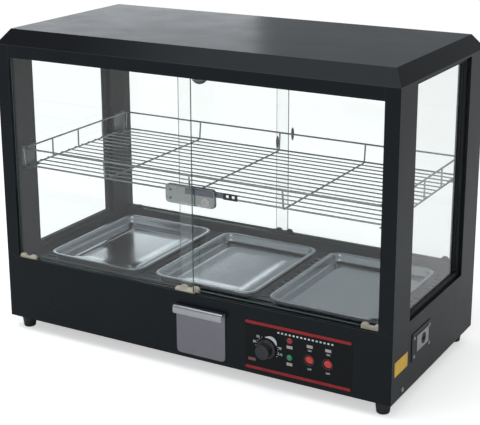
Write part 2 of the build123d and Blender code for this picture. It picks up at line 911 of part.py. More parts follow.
def side_screws():
    made = []
    zc = z_base + entry_z
    for y_off in (-cover_screw_x / 2, cover_screw_x / 2):
        for z_off in (-cover_screw_z / 2, cover_screw_z / 2):
            made.append(pan_screw(entry_y + y_off, zc + z_off, side + sheet, screw_head_radius, screw_head))
    made.append(earth_bolt())
    return made


def pan_screw(y, z, x, head_radius, head):
    shape = disc_x(y, z, head_radius, x, x + head)
    shape = fillet(shape.edges().group_by(Axis.X)[-1], head * 0.6)
    shape += disc_x(y, z, screw_radius, x - screw_length, x)
    slot = slab((x + head - 0.7, x + head + 1), (y - head_radius, y + head_radius), (z - 0.5, z + 0.5))
    return shape - slot


def earth_bolt():
    z = z_base + earth_z
    face = Plane(origin=(side, earth_y, z), x_dir=(0, 1, 0), z_dir=(1, 0, 0))
    head = extrude(face * RegularPolygon(earth_radius, 6), earth_head)
    return head + disc_x(earth_y, z, screw_radius, side - screw_length, side)


def terminal_block():
    dx, dy, dz = terminal_size
    x1 = side - sheet - screw_length
    z = z_base + entry_z
    block = slab((x1 - dx, x1), (entry_y - dy / 2, entry_y + dy / 2), (z_base + sheet, z_base + sheet + dz))
    for i in range(3):
        y = entry_y + (i - 1) * 15
        block -= slab((x1 - dx + 6, x1 - 6), (y - 5, y + 5), (z_base + sheet + dz - 12, z + dz))
    return block


def yellow_label():
    z = z_base + label_z
    w, h = label_size
    return slab((side, side + label_thick), (label_y - w / 2, label_y + w / 2), (z - h / 2, z + h / 2))


# Heater: a hairpin tube hung under the floor plate

def element():
    z = z_base + element_z
    x0 = element_offset_x - element_run / 2
    x1 = element_offset_x + element_run / 2
    y0, y1 = element_y - element_half_gap, element_y + element_half_gap
    circle = Plane(origin=(x1, y0, z), z_dir=(-1, 0, 0)) * Circle(element_radius)
    path = Line((x1, y0, z), (x0, y0, z))
    path += ThreePointArc((x0, y0, z), (x0 - element_half_gap, element_y, z), (x0, y1, z))
    path += Line((x0, y1, z), (x1, y1, z))
    return sweep(circle, path=path)


def element_clamps():
    z = z_base + element_z
    made = []
    for x in (element_offset_x - 230, element_offset_x + 230):
        for y in (element_y - element_half_gap, element_y + element_half_gap):
            r = element_radius + 0.1
            strap = slab((x - clamp_width / 2, x + clamp_width / 2),
                         (y - r - clamp_sheet, y + r + clamp_sheet), (z - r - clamp_sheet, z_floor - sheet))
            strap -= slab((x - clamp_width, x + clamp_width), (y - r, y + r),
                          (z, z_floor - sheet - clamp_sheet))
            strap -= disc_x(y, z, r, x - clamp_width, x + clamp_width)
            made.append(strap)
    return made


def build():
    save("base_casing", base_casing())
    save("base_front_panel", base_front_panel())
    save("bottom_plate", bottom_plate())
    save("floor_plate", floor_plate())
    save("rubber_feet", *[foot(x, y) for x, y in foot_places()])
    post = corner_post()
    save("corner_posts", post, mirror_x(post), turned(post), turned(mirror_x(post)))
    save("front_header", header())
    save("rear_header", turned(header()))
    save("front_track", bottom_track())
    save("rear_track", turned(bottom_track()))
    save("ceiling_liner", ceiling_liner())
    save("top_cover", top_cover())
    save("side_glass_panes", side_pane(), mirror_x(side_pane()))
    save("side_glass_seals", side_seal(), mirror_x(side_seal()))
    for end, place in (("front", lambda s: s), ("rear", turned)):
        for right in (False, True):
            hand = right if end == "front" else not right
            name = f"{end}_{'right' if hand else 'left'}_door"
            save(name + "_glass", place(door_pane(right)))
            fittings = [place(c) for c in carriers(right)]
            if end == "rear":
                fittings.append(place(finger_pull(right)))
            save(name + "_carriers", *fittings)
            for index in (0, 1):
                label = index if end == "front" else 1 - index
                save(f"{name}_wheel_{'left' if label == 0 else 'right'}", place(wheel(right, index)))
    save("door_lock_housing", lock_housing())
    save("door_lock_barrel", lock_barrel())
    for name, x in (("left", -tray_pitch), ("middle", 0), ("right", tray_pitch)):
        save(f"tray_{name}", tray(x))
    save("shelf_deck", shelf_deck())
    save("shelf_rail", shelf_rail())
    bracket = shelf_bracket()
    save("shelf_brackets", bracket, mirror_x(bracket), turned(bracket), turned(mirror_x(bracket)))
    save("lamp_holder", lamp_holder())
    save("lamp_bulb", lamp_bulb())
    save("water_drawer_front", drawer_front())
    save("water_pan", water_pan())
    save("drawer_cradle", drawer_cradle())
    save("control_panel", control_panel())
    save("red_indicator", indicator(red_z))
    save("green_indicator", indicator(green_z))
    save("switch_housings", *[switch_housing(x) for x in switch_x])
    save("left_rocker", rocker(switch_x[0]))
    save("right_rocker", rocker(switch_x[1]))
    save("thermostat_body", thermostat_body())
    save("thermostat_spindle", spindle())
    save("thermostat_knob", knob())
    save("entry_cover_plate", entry_cover())
    save("entry_insert", entry_insert())
    save("cable_grommet", grommet())
    save("side_screws", *side_screws())
    save("terminal_block", terminal_block())
    save("yellow_label", yellow_label())
    save("heating_element", element())
    save("element_clamps", *element_clamps())


build()
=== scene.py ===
import bpy
import math
from mathutils import Matrix, Vector


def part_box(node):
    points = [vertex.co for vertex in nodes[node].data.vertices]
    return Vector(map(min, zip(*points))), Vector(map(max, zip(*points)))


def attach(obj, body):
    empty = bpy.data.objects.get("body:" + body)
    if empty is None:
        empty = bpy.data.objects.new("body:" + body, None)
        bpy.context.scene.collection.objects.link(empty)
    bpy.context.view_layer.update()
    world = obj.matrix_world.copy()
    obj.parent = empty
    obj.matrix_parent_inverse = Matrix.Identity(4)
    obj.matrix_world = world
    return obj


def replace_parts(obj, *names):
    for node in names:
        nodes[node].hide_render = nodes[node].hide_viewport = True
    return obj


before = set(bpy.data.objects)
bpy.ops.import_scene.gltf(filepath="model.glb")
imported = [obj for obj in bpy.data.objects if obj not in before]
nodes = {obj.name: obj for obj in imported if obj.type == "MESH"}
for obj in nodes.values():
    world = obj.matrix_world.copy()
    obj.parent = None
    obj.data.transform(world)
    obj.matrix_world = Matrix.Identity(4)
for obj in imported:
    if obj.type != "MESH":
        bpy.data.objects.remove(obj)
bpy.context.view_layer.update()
mm = 0.001
print("frame loaded:", len(nodes), "nodes")


# Measures read from the frame

def low(name):
    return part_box(name)[0]


def high(name):
    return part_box(name)[1]


def middle(name):
    return (low(name) + high(name)) / 2


# Material building blocks. Coordinates are the object's own, in metres.

def startMaterial(name, **values):
    material = bpy.data.materials.new(name)
    material.use_nodes = True
    shader = material.node_tree.nodes["Principled BSDF"]
    for socket, value in values.items():
        shader.inputs[socket.replace("_", " ")].default_value = value
    return material, material.node_tree, shader


def grey(r, g, b):
    return (r, g, b, 1.0)


def noise(tree, scale, stretch=(1, 1, 1), detail=3.0, roughness=0.55):
    coordinates = tree.nodes.new("ShaderNodeTexCoord")
    mapping = tree.nodes.new("ShaderNodeMapping")
    mapping.inputs["Scale"].default_value = stretch
    tree.links.new(coordinates.outputs["Object"], mapping.inputs["Vector"])
    node = tree.nodes.new("ShaderNodeTexNoise")
    node.inputs["Scale"].default_value = scale
    node.inputs["Detail"].default_value = detail
    node.inputs["Roughness"].default_value = roughness
    tree.links.new(mapping.outputs["Vector"], node.inputs["Vector"])
    return node.outputs["Fac"]


def spread(tree, source, fromLow, fromHigh, toLow, toHigh):
    node = tree.nodes.new("ShaderNodeMapRange")
    for index, value in enumerate((fromLow, fromHigh, toLow, toHigh), 1):
        node.inputs[index].default_value = value
    tree.links.new(source, node.inputs[0])
    return node.outputs[0]


# Each colour is a plain value or another node's output
def twoColours(tree, source, first, second):
    node = tree.nodes.new("ShaderNodeMix")
    node.data_type = "RGBA"
    tree.links.new(source, node.inputs[0])
    for index, value in ((6, first), (7, second)):
        if hasattr(value, "default_value"):
            tree.links.new(value, node.inputs[index])
        else:
            node.inputs[index].default_value = value
    return node.outputs[2]


def bump(tree, shader, height, strength, depth):
    node = tree.nodes.new("ShaderNodeBump")
    node.inputs["Strength"].default_value = strength
    node.inputs["Distance"].default_value = depth
    tree.links.new(height, node.inputs["Height"])
    tree.links.new(node.outputs["Normal"], shader.inputs["Normal"])


def scaled(colour, factor, lift=0.0):
    return tuple(min(1.0, c * factor + lift) for c in colour[:3]) + (1.0,)


edgeSpec = {"samples": 4, "flat": 0.97, "sharp": 0.80}


# Bright where a sharp edge lies within the radius
def edgeMask(tree, radius):
    rounded = tree.nodes.new("ShaderNodeBevel")
    rounded.samples = edgeSpec["samples"]
    rounded.inputs["Radius"].default_value = radius
    geometry = tree.nodes.new("ShaderNodeNewGeometry")
    dot = tree.nodes.new("ShaderNodeVectorMath")
    dot.operation = "DOT_PRODUCT"
    tree.links.new(rounded.outputs["Normal"], dot.inputs[0])
    tree.links.new(geometry.outputs["Normal"], dot.inputs[1])
    return spread(tree, dot.outputs["Value"], edgeSpec["flat"], edgeSpec["sharp"], 0.0, 1.0)


enamelSpec = {
    "cloudScale": 9.0, "cloudRange": (0.3, 0.75), "cloudLift": 1.15, "glossRange": (0.3, 0.7),
    "speckScale": 420.0, "speckRange": (0.66, 0.80), "speckShare": 0.25,
    "wornEdge": 1.2 * mm, "peelScale": 260.0, "peelDepth": 0.4 * mm,
}


# Baked enamel: faint orange peel, dust and edges worn slightly paler
def enamel(name, colour, worn, gloss=(0.27, 0.33), specular=0.16, peel=0.05):
    spec = enamelSpec
    material, tree, shader = startMaterial(name, Specular_IOR_Level=specular)
    cloud = noise(tree, spec["cloudScale"], detail=5.0)
    speck = noise(tree, spec["speckScale"], detail=2.0)
    body = twoColours(tree, spread(tree, cloud, *spec["cloudRange"], 0.0, 1.0), colour,
                      scaled(colour, spec["cloudLift"]))
    dusty = twoColours(tree, spread(tree, speck, *spec["speckRange"], 0.0, spec["speckShare"]), body, worn)
    colourOut = twoColours(tree, edgeMask(tree, spec["wornEdge"]), dusty, worn)
    tree.links.new(colourOut, shader.inputs["Base Color"])
    tree.links.new(spread(tree, cloud, *spec["glossRange"], *gloss), shader.inputs["Roughness"])
    bump(tree, shader, noise(tree, spec["peelScale"], detail=1.0), peel, spec["peelDepth"])
    return material


metalSpec = {
    "anisotropy": 0.3, "lineRange": (0.35, 0.65), "lineDepth": 0.2 * mm, "cloudScale": 11.0,
    "cloudRange": (0.35, 0.75), "cloudShare": 0.5, "roughRange": (0.3, 0.7),
}


# Bare metal with rolled or brushed grain along the axis that is stretched least
def metal(name, colour, rough=(0.14, 0.26), grain=(1, 1, 1), scale=300.0, depth=0.04, tone=0.85):
    spec = metalSpec
    material, tree, shader = startMaterial(name, Metallic=1.0, Anisotropic=spec["anisotropy"])
    lines = noise(tree, scale, stretch=grain, detail=4.0)
    cloud = noise(tree, spec["cloudScale"], detail=4.0)
    dark = scaled(colour, tone)
    shade = twoColours(tree, spread(tree, lines, *spec["lineRange"], 0.0, 1.0), dark, colour)
    clouded = twoColours(tree, spread(tree, cloud, *spec["cloudRange"], 0.0, spec["cloudShare"]), shade,
                         dark)
    tree.links.new(clouded, shader.inputs["Base Color"])
    tree.links.new(spread(tree, cloud, *spec["roughRange"], *rough), shader.inputs["Roughness"])
    bump(tree, shader, lines, depth, spec["lineDepth"])
    return material


plasticSpec = {
    "cloudScale": 40.0, "cloudRange": (0.35, 0.7), "factor": 1.2, "lift": 0.004, "roughRange": (0.3, 0.7),
    "grainDepth": 0.15 * mm,
}


# Moulded plastic or rubber: fine mould texture and a little uneven gloss
def plastic(name, colour, rough=(0.3, 0.45), grainScale=900.0, depth=0.08, specular=0.5, **more):
    spec = plasticSpec
    material, tree, shader = startMaterial(name, Specular_IOR_Level=specular, **more)
    cloud = noise(tree, spec["cloudScale"])
    clouded = twoColours(tree, spread(tree, cloud, *spec["cloudRange"], 0.0, 1.0), colour,
                         scaled(colour, spec["factor"], spec["lift"]))
    tree.links.new(clouded, shader.inputs["Base Color"])
    tree.links.new(spread(tree, cloud, *spec["roughRange"], *rough), shader.inputs["Roughness"])
    bump(tree, shader, noise(tree, grainScale, detail=2.0), depth, spec["grainDepth"])
    return material


glassSpec = {"index": 1.45, "smearScale": 6.0, "smearRange": (0.45, 0.8), "smearRough": 0.025,
             "shadowShare": 0.45, "shadowFloor": 0.5}


# Clear glass. Lamps shine through it: its shadow is only a light tint.
def glassPane(name, tint):
    spec = glassSpec
    material, tree, shader = startMaterial(name, Base_Color=tint, Transmission_Weight=1.0,
                                           IOR=spec["index"])
    smear = noise(tree, spec["smearScale"], detail=5.0)
    tree.links.new(spread(tree, smear, *spec["smearRange"], 0.0, spec["smearRough"]),
                   shader.inputs["Roughness"])
    path = tree.nodes.new("ShaderNodeLightPath")
    clear = tree.nodes.new("ShaderNodeBsdfTransparent")
    clear.inputs["Color"].default_value = scaled(tint, spec["shadowShare"], spec["shadowFloor"])
    mix = tree.nodes.new("ShaderNodeMixShader")
    tree.links.new(path.outputs["Is Shadow Ray"], mix.inputs["Fac"])
    tree.links.new(shader.outputs["BSDF"], mix.inputs[1])
    tree.links.new(clear.outputs["BSDF"], mix.inputs[2])
    tree.links.new(mix.outputs["Shader"], tree.nodes["Material Output"].inputs["Surface"])
    return material


finish = {
    "enamel": enamel("blackEnamel", grey(0.0062, 0.0092, 0.0112), grey(0.040, 0.043, 0.047)),
    "roof": enamel("roofEnamel", grey(0.0065, 0.0075, 0.0085), grey(0.045, 0.048, 0.052),
                   gloss=(0.20, 0.25), specular=0.12, peel=0.03),
    "deck": enamel("floorEnamel", grey(0.082, 0.095, 0.100), grey(0.15, 0.165, 0.17),
                   gloss=(0.30, 0.38), specular=0.3),
    "track": enamel("trackEnamel", grey(0.024, 0.030, 0.032), grey(0.06, 0.07, 0.07),
                    gloss=(0.38, 0.46), specular=0.12),
    "panel": enamel("panelOverlay", grey(0.0060, 0.0078, 0.0088), grey(0.03, 0.03, 0.03),
                    gloss=(0.34, 0.40), specular=0.13, peel=0.08),
    "zinc": metal("zincSheet", grey(0.42, 0.43, 0.44), rough=(0.30, 0.45), scale=120.0),
    "tray": metal("trayStainless", grey(0.50, 0.53, 0.545), rough=(0.13, 0.19), grain=(1, 9, 1),
                  scale=120.0, depth=0.008, tone=0.94),
    "drawer": metal("drawerStainless", grey(0.25, 0.25, 0.275), rough=(0.36, 0.46), grain=(1, 1, 14),
                    scale=90.0, depth=0.05, tone=0.9),
    # the lip is the same sheet as the drawer front; its paler copy of the steel is painted light on the
    # fold
    "lip": metal("drawerLipPaintedLight", grey(0.47, 0.47, 0.485), rough=(0.26, 0.34), grain=(1, 1, 14),
                 scale=90.0, depth=0.05, tone=0.92),
    "wire": metal("platedWire", grey(0.40, 0.42, 0.42), rough=(0.16, 0.28), scale=500.0, depth=0.03),
    "screw": metal("zincScrew", grey(0.50, 0.50, 0.49), rough=(0.22, 0.34), scale=700.0),
    "lock": metal("satinChrome", grey(0.36, 0.385, 0.375), rough=(0.16, 0.30), grain=(6, 1, 1),
                  scale=220.0),
    "lockBar": metal("lockBarSteel", grey(0.17, 0.185, 0.22), rough=(0.22, 0.34), grain=(6, 1, 1),
                     scale=200.0),
    "darkSteel": metal("darkLockSteel", grey(0.06, 0.065, 0.07), rough=(0.3, 0.42)),
    "bracket": metal("bracketSteel", grey(0.20, 0.21, 0.215), rough=(0.28, 0.4), scale=260.0),
    "glass": glassPane("clearGlass", grey(0.965, 0.985, 0.978)),
    "bulb": glassPane("bulbGlass", grey(0.93, 0.93, 0.92)),
    "edge": plastic("glassEdge", grey(0.085, 0.135, 0.118), rough=(0.16, 0.24), depth=0.03,
                    specular=0.3),
    "pull": plastic("clearGreyPull", grey(0.62, 0.63, 0.64), rough=(0.14, 0.22), depth=0.03,
                    Transmission_Weight=0.55),
    "seal": plastic("blackSeal", grey(0.010, 0.011, 0.012), rough=(0.5, 0.65)),
    "rubber": plastic("footRubber", grey(0.012, 0.012, 0.013), rough=(0.45, 0.62), specular=0.4),
    "cream": plastic("creamPlastic", grey(0.60, 0.54, 0.44), rough=(0.38, 0.5)),
    "black": plastic("blackPlastic", grey(0.014, 0.014, 0.015), rough=(0.3, 0.42)),
    "nylon": plastic("whiteNylon", grey(0.60, 0.60, 0.57), rough=(0.35, 0.5)),
    "ceramic": plastic("glazedCeramic", grey(0.62, 0.61, 0.57), rough=(0.12, 0.22), grainScale=60.0),
    "redLens": plastic("redLens", grey(0.30, 0.010, 0.014), rough=(0.08, 0.16), grainScale=420.0,
                       Coat_Weight=0.5),
    "greenLens": plastic("greenLens", grey(0.010, 0.21, 0.075), rough=(0.08, 0.16), grainScale=420.0,
                         Coat_Weight=0.5),
    "rocker": plastic("redRocker", grey(0.54, 0.018, 0.016), rough=(0.16, 0.26), grainScale=300.0,
                      depth=0.03, Coat_Weight=0.4),
    "stripe": plastic("redStripe", grey(0.27, 0.016, 0.020), rough=(0.36, 0.46), grainScale=350.0,
                      specular=0.25),
    "whitePrint": plastic("whitePrint", grey(0.58, 0.60, 0.62), rough=(0.4, 0.5)),
    "redPrint": plastic("redPrint", grey(0.17, 0.06, 0.07), rough=(0.4, 0.5)),
    "palePrint": plastic("palePrint", grey(0.42, 0.34, 0.35), rough=(0.4, 0.5)),
    "yellow": plastic("yellowVinyl", grey(0.74, 0.44, 0.012), rough=(0.3, 0.42), grainScale=500.0),
}
print("materials made:", len(finish))


# Which finish each CAD node gets where its own solid shows

nodeFinish = {
    "base_casing": "enamel", "base_front_panel": "enamel", "bottom_plate": "enamel", "floor_plate": "deck",
    "rubber_feet": "rubber", "corner_posts": "enamel", "front_header": "enamel", "rear_header": "enamel",
    "front_track": "track", "rear_track": "track", "ceiling_liner": "enamel", "top_cover": "roof",
    "side_glass_panes": "glass", "side_glass_seals": "seal", "door_lock_housing": "lock",
    "door_lock_barrel": "screw", "tray_left": "tray", "tray_middle": "tray", "tray_right": "tray",
    "shelf_deck": "wire", "shelf_rail": "wire", "shelf_brackets": "bracket", "lamp_holder": "ceramic",
    "lamp_bulb": "bulb", "water_drawer_front": "drawer", "water_pan": "zinc", "drawer_cradle": "zinc",
    "control_panel": "panel", "red_indicator": "redLens", "green_indicator": "greenLens",
    "switch_housings": "black", "left_rocker": "rocker", "right_rocker": "rocker",
    "thermostat_body": "black", "thermostat_spindle": "screw", "thermostat_knob": "black",
    "entry_cover_plate": "enamel", "entry_insert": "zinc", "cable_grommet": "rubber",
    "side_screws": "screw", "terminal_block": "ceramic", "yellow_label": "yellow",
    "heating_element": "zinc", "element_clamps": "zinc",
}
doors = [f"{end}_{side}_door" for end in ("front", "rear") for side in ("left", "right")]
for door in doors:
    nodeFinish[door + "_glass"] = "glass"
    # the rear carriers are the same cream parts as the front ones; their black is painted shade
    nodeFinish[door + "_carriers"] = "cream" if door.startswith("front") else "black"
    for wheel in ("left", "right"):
        nodeFinish[f"{door}_wheel_{wheel}"] = "nylon"

paneFace = 0.7  # least share of a face's normal along the thin axis; with less it is an edge
for name, key in nodeFinish.items():
    mesh = nodes[name].data
    mesh.materials.clear()
    mesh.materials.append(finish[key])
    if key == "glass":  # the narrow faces of a pane are ground and look greenish grey
        mesh.materials.append(finish["edge"])
        thin = min(range(3), key=lambda axis: (high(name) - low(name))[axis]) if "door" in name else 0
        for face in mesh.polygons:
            face.material_index = 0 if abs(face.normal[thin]) > paneFace else 1


# Rounds the edges that turn by more than the angle
def softened(piece, width, angle=40):
    edge = piece.modifiers.new("softEdge", "BEVEL")
    edge.width = width
    edge.segments = 2
    edge.limit_method = "ANGLE"
    edge.angle_limit = math.radians(angle)
    return piece


softEdges = {
    "base_casing": 0.8, "base_front_panel": 0.5, "corner_posts": 1.2, "front_header": 0.5,
    "rear_header": 0.5, "top_cover": 1.6, "drawer_cradle": 0.3, "switch_housings": 0.5, "left_rocker": 0.5,
    "right_rocker": 0.5, "entry_cover_plate": 0.4, "entry_insert": 0.3, "cable_grommet": 0.15,
    "yellow_label": 0.05, "front_track": 0.4, "rear_track": 0.4, "side_glass_seals": 0.6,
    "shelf_brackets": 0.3,
}
for name, width in softEdges.items():
    softened(nodes[name], width * mm)
print("CAD nodes dressed")


# Mesh tools for the new pieces

def addPiece(name, mesh, body):
    piece = bpy.data.objects.new(name, mesh)
    bpy.context.scene.collection.objects.link(piece)
    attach(piece, body)
    return piece


def makePiece(name, verts, faces, material, body, slotName, sharpAngle=35):
    mesh = bpy.data.meshes.new(name)
    mesh.from_pydata([tuple(v) for v in verts], [], faces)
    mesh.validate()
    mesh.update()
    mesh.polygons.foreach_set("use_smooth", [True] * len(mesh.polygons))
    mesh.set_sharp_from_angle(angle=math.radians(sharpAngle))
    mesh.materials.append(material)
    return addPiece(name, mesh, body)


# A sheet of the given thickness laid on one side of the mesh, or half on each side
def thickened(piece, thickness, side):
    sheet = piece.modifiers.new("sheet", "SOLIDIFY")
    sheet.thickness = thickness
    sheet.offset = side
    return piece


# Quads between rings of equal length
def skin(rings, capFirst=False, capLast=False):
    count = len(rings[0])
    faces = []
    for row in range(len(rings) - 1):
        a, b = row * count, (row + 1) * count
        faces += [(a + i, a + (i + 1) % count, b + (i + 1) % count, b + i) for i in range(count)]
    if capFirst:
        faces.append(tuple(reversed(range(count))))
    if capLast:
        faces.append(tuple((len(rings) - 1) * count + i for i in range(count)))
    return [p for ring in rings for p in ring], faces


# Several (verts, faces) pairs as one
def gather(parts):
    verts, faces = [], []
    for partVerts, partFaces in parts:
        shift = len(verts)
        verts += partVerts
        faces += [tuple(i + shift for i in face) for face in partFaces]
    return verts, faces


# Points round a circle as (sine, cosine) times the radius
def circle(radius, count):
    angles = [2 * math.pi * i / count for i in range(count)]
    return [(radius * math.sin(angle), radius * math.cos(angle)) for angle in angles]


# Points anticlockwise round a rectangle with round corners, centred on zero
def roundedRect(width, depth, radius, steps=6):
    points = []
    for corner, (sx, sy) in enumerate(((1, 1), (-1, 1), (-1, -1), (1, -1))):
        cx, cy = sx * (width / 2 - radius), sy * (depth / 2 - radius)
        for i in range(steps + 1):
            angle = math.pi / 2 * (corner + i / steps)
            points.append((cx + radius * math.cos(angle), cy + radius * math.sin(angle)))
    return points


def rectangle(x0, x1, z0, z1):
    return [(x0, z0), (x1, z0), (x1, z1), (x0, z1)]


# A flat outline of (x, z) carried from one depth to another
def prism(outline, y0, y1):
    return skin([[(x, y0, z) for x, z in outline], [(x, y1, z) for x, z in outline]], True, True)


# A form turned about a line along Y: profile is (radius, y) from front to back
def turned(profile, centre, segments=64, wave=None):
    rings = []
    for radius, y in profile:
        ring = []
        for i in range(segments):
            angle = 2 * math.pi * i / segments
            r = radius + (wave(angle, radius, y) if wave else 0.0)
            ring.append((centre[0] + r * math.sin(angle), y, centre[2] + r * math.cos(angle)))
        rings.append(ring)
    return skin(rings, capFirst=True, capLast=True)


# The mesh of a curve or a text at the place given; the curve itself goes
def curveMesh(name, curve, material, place=None):
    holder = bpy.data.objects.new(name + "Curve", curve)
    bpy.context.scene.collection.objects.link(holder)
    bpy.context.view_layer.update()
    mesh = bpy.data.meshes.new_from_object(holder.evaluated_get(bpy.context.evaluated_depsgraph_get()))
    if place:
        mesh.transform(place)
    bpy.data.objects.remove(holder)
    bpy.data.curves.remove(curve)
    mesh.name = name
    mesh.materials.clear()
    mesh.materials.append(material)
    return mesh


# Round wires along paths of (points, closed) as one mesh
def wirePiece(name, paths, radius, material, body, sides=4):
    curve = bpy.data.curves.new(name, "CURVE")
    curve.dimensions = "3D"
    curve.bevel_depth = radius
    curve.bevel_resolution = sides
    curve.use_fill_caps = True
    for points, closed in paths:
        spline = curve.splines.new("POLY")
        spline.points.add(len(points) - 1)
        for target, point in zip(spline.points, points):
            target.co = (*point, 1.0)
        spline.use_cyclic_u = closed
        spline.use_smooth = True
    return addPiece(name, curveMesh(name, curve, material), body)


# The same path with each inner corner rounded
def bend(points, radius, steps=5):
    longest = 0.45  # a bend takes at most this share of the stretch beside it
    out = [Vector(points[0])]
    for before, corner, after in zip(points, points[1:], points[2:]):
        before, corner, after = Vector(before), Vector(corner), Vector(after)
        reach = min(radius, (corner - before).length * longest, (after - corner).length * longest)
        start = corner + (before - corner).normalized() * reach
        end = corner + (after - corner).normalized() * reach
        for i in range(steps + 1):
            t = i / steps
            out.append(start * (1 - t) ** 2 + corner * 2 * t * (1 - t) + end * t ** 2)
    out.append(Vector(points[-1]))
    return out


# Trays: pressed stainless with a rolled rim and a stepped bottom

traySpec = {
    "corner": 28 * mm, "smallestCorner": 4 * mm, "thickness": 0.8 * mm,
    # (mm in from the outline, mm up from the foot), from the rim's outer edge to the middle
    "rim": ((1.6, 16.2), (0.6, 15.8), (0.15, 16.6), (0.1, 17.4), (0.5, 18.3), (1.3, 18.8), (2.4, 18.95),
            (6.2, 18.9), (7.6, 18.5), (8.4, 17.4)),
    "wall": ((9.3, 13.5), (10.6, 7.5), (11.6, 3.6), (12.8, 1.9), (14.6, 1.1), (17.0, 0.9)),
    "steps": ((30.0, 0.9), (31.2, 1.2), (33.4, 2.3), (34.8, 2.6), (46.0, 2.6), (47.2, 2.4), (49.4, 1.3),
              (50.8, 1.0), (70.0, 1.0), (95.0, 1.0)),
}


def buildTray(name):
    lowCorner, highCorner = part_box(name)
    centre = (lowCorner + highCorner) / 2
    width, depth = highCorner.x - lowCorner.x, highCorner.y - lowCorner.y
    rings = []
    for inset, height in traySpec["rim"] + traySpec["wall"] + traySpec["steps"]:
        radius = max(traySpec["corner"] - inset * mm, traySpec["smallestCorner"])
        outline = roundedRect(width - 2 * inset * mm, depth - 2 * inset * mm, radius, steps=8)
        rings.append([(centre.x + x, centre.y + y, lowCorner.z + height * mm) for x, y in outline])
    pan = makePiece(name + "_pressed", *skin(rings, capLast=True), finish["tray"], name, "stainless", 60)
    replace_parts(thickened(pan, traySpec["thickness"], side=-1.0), name)


for side in ("left", "middle", "right"):
    buildTray(f"tray_{side}")
print("trays pressed")


# Wire shelf: long wires, cross wires bent up into risers, guard rail, weld spots

shelfSpec = {
    "longWires": 16, "crossWires": 5, "longRadius": 1.4 * mm, "frameRadius": 1.9 * mm,
    "crossRadius": 1.8 * mm, "railRadius": 1.9 * mm, "railCorner": 13 * mm, "riserBend": 7 * mm,
    "endRisers": (-0.5, 0.0, 0.5),
    # a weld spot's levels: (up, width) as shares of its radius; up is from the cross wire's axis twice,
    # then from the long wire's
    "weld": 1.5 * mm, "weldOval": 0.9, "weldSides": 10, "weldLevels": ((0.2, 1.0), (1.0, 1.25), (0.3, 1.0)),
}


def buildShelf():
    deckLow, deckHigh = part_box("shelf_deck")
    railLow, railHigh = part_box("shelf_rail")
    centre = (deckLow + deckHigh) / 2
    frameR, crossR, railR = (shelfSpec[k] for k in ("frameRadius", "crossRadius", "railRadius"))
    halfX = (deckHigh.x - deckLow.x) / 2 - crossR
    halfY = (railHigh.y - railLow.y) / 2 - railR
    deckY = (deckHigh.y - deckLow.y) / 2 - frameR
    deckZ, crossZ, railZ = deckHigh.z - frameR, deckLow.z + crossR, railHigh.z - railR

    def shelfWires(name, paths, radius):
        return wirePiece(name, paths, radius, finish["wire"], "wire_shelf")

    lastRow, lastColumn = shelfSpec["longWires"] - 1, shelfSpec["crossWires"] - 1
    rows = [centre.y - deckY + 2 * deckY * i / lastRow for i in range(lastRow + 1)]
    columns = [centre.x - halfX + 2 * halfX * i / lastColumn for i in range(lastColumn + 1)]
    straight = [([(centre.x - halfX, y, deckZ), (centre.x + halfX, y, deckZ)], False) for y in rows]
    deck = shelfWires("shelf_long_wires", straight[1:-1], shelfSpec["longRadius"])
    shelfWires("shelf_frame_wires", [straight[0], straight[-1]], frameR)

    cross = []
    for x in columns:
        path = [(x, centre.y - halfY, railZ), (x, centre.y - deckY - frameR, crossZ),
                (x, centre.y + deckY + frameR, crossZ), (x, centre.y + halfY, railZ)]
        cross.append((bend(path, shelfSpec["riserBend"]), False))
    for x in (columns[0], columns[-1]):
        for share in shelfSpec["endRisers"]:
            y = centre.y + share * deckY
            cross.append(([(x, y, crossZ), (x, y, railZ)], False))
    shelfWires("shelf_cross_wires", cross, crossR)

    outline = roundedRect(2 * halfX, 2 * halfY, shelfSpec["railCorner"], steps=8)
    railPath = [(centre.x + x, centre.y + y, railZ) for x, y in outline]
    rail = shelfWires("shelf_guard_rail", [(railPath, True)], railR)

    weld, oval = shelfSpec["weld"], shelfSpec["weldOval"]
    spots = []
    for x in columns:
        for y in rows:
            rings = []
            for axisZ, (up, swell) in zip((crossZ, crossZ, deckZ), shelfSpec["weldLevels"]):
                around = circle(swell * weld, shelfSpec["weldSides"])
                rings.append([(x + cosine, y + oval * sine, axisZ + up * weld) for sine, cosine in around])
            spots.append(skin(rings, capFirst=True, capLast=True))
    makePiece("shelf_weld_spots", *gather(spots), finish["wire"], "wire_shelf", "shelf_chrome")
    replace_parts(deck, "shelf_deck")
    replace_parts(rail, "shelf_rail")


buildShelf()
print("shelf wired")


# Water drawer front: one folded sheet with a rounded lower edge and a return lip

drawerSpec = {
    "sheet": 1.5 * mm, "corner": 9 * mm, "topFold": 2.2 * mm, "lipFold": 5 * mm, "lip": 17 * mm,
    "round": 0.5 * mm, "plateRows": (0.35, 0.7, 1.0), "columns": (0.0, 0.02, 0.25, 0.5, 0.75, 0.98, 1.0),
    # the lip's foot: (up from its lower edge, back from its face, in from its ends)
    "lipFoot": ((3 * mm, 0.0, 0.0), (1 * mm, 0.3 * mm, 0.75 * mm), (0.0, 0.8 * mm, 2.5 * mm)),
}


# Pairs over a quarter turn: the first grows from 0 to 1 while the second falls from 1 to 0
def quarterTurn(steps):
    angles = [math.pi / 2 * i / steps for i in range(steps + 1)]
    return [(1 - math.cos(angle), 1 - math.sin(angle)) for angle in angles]


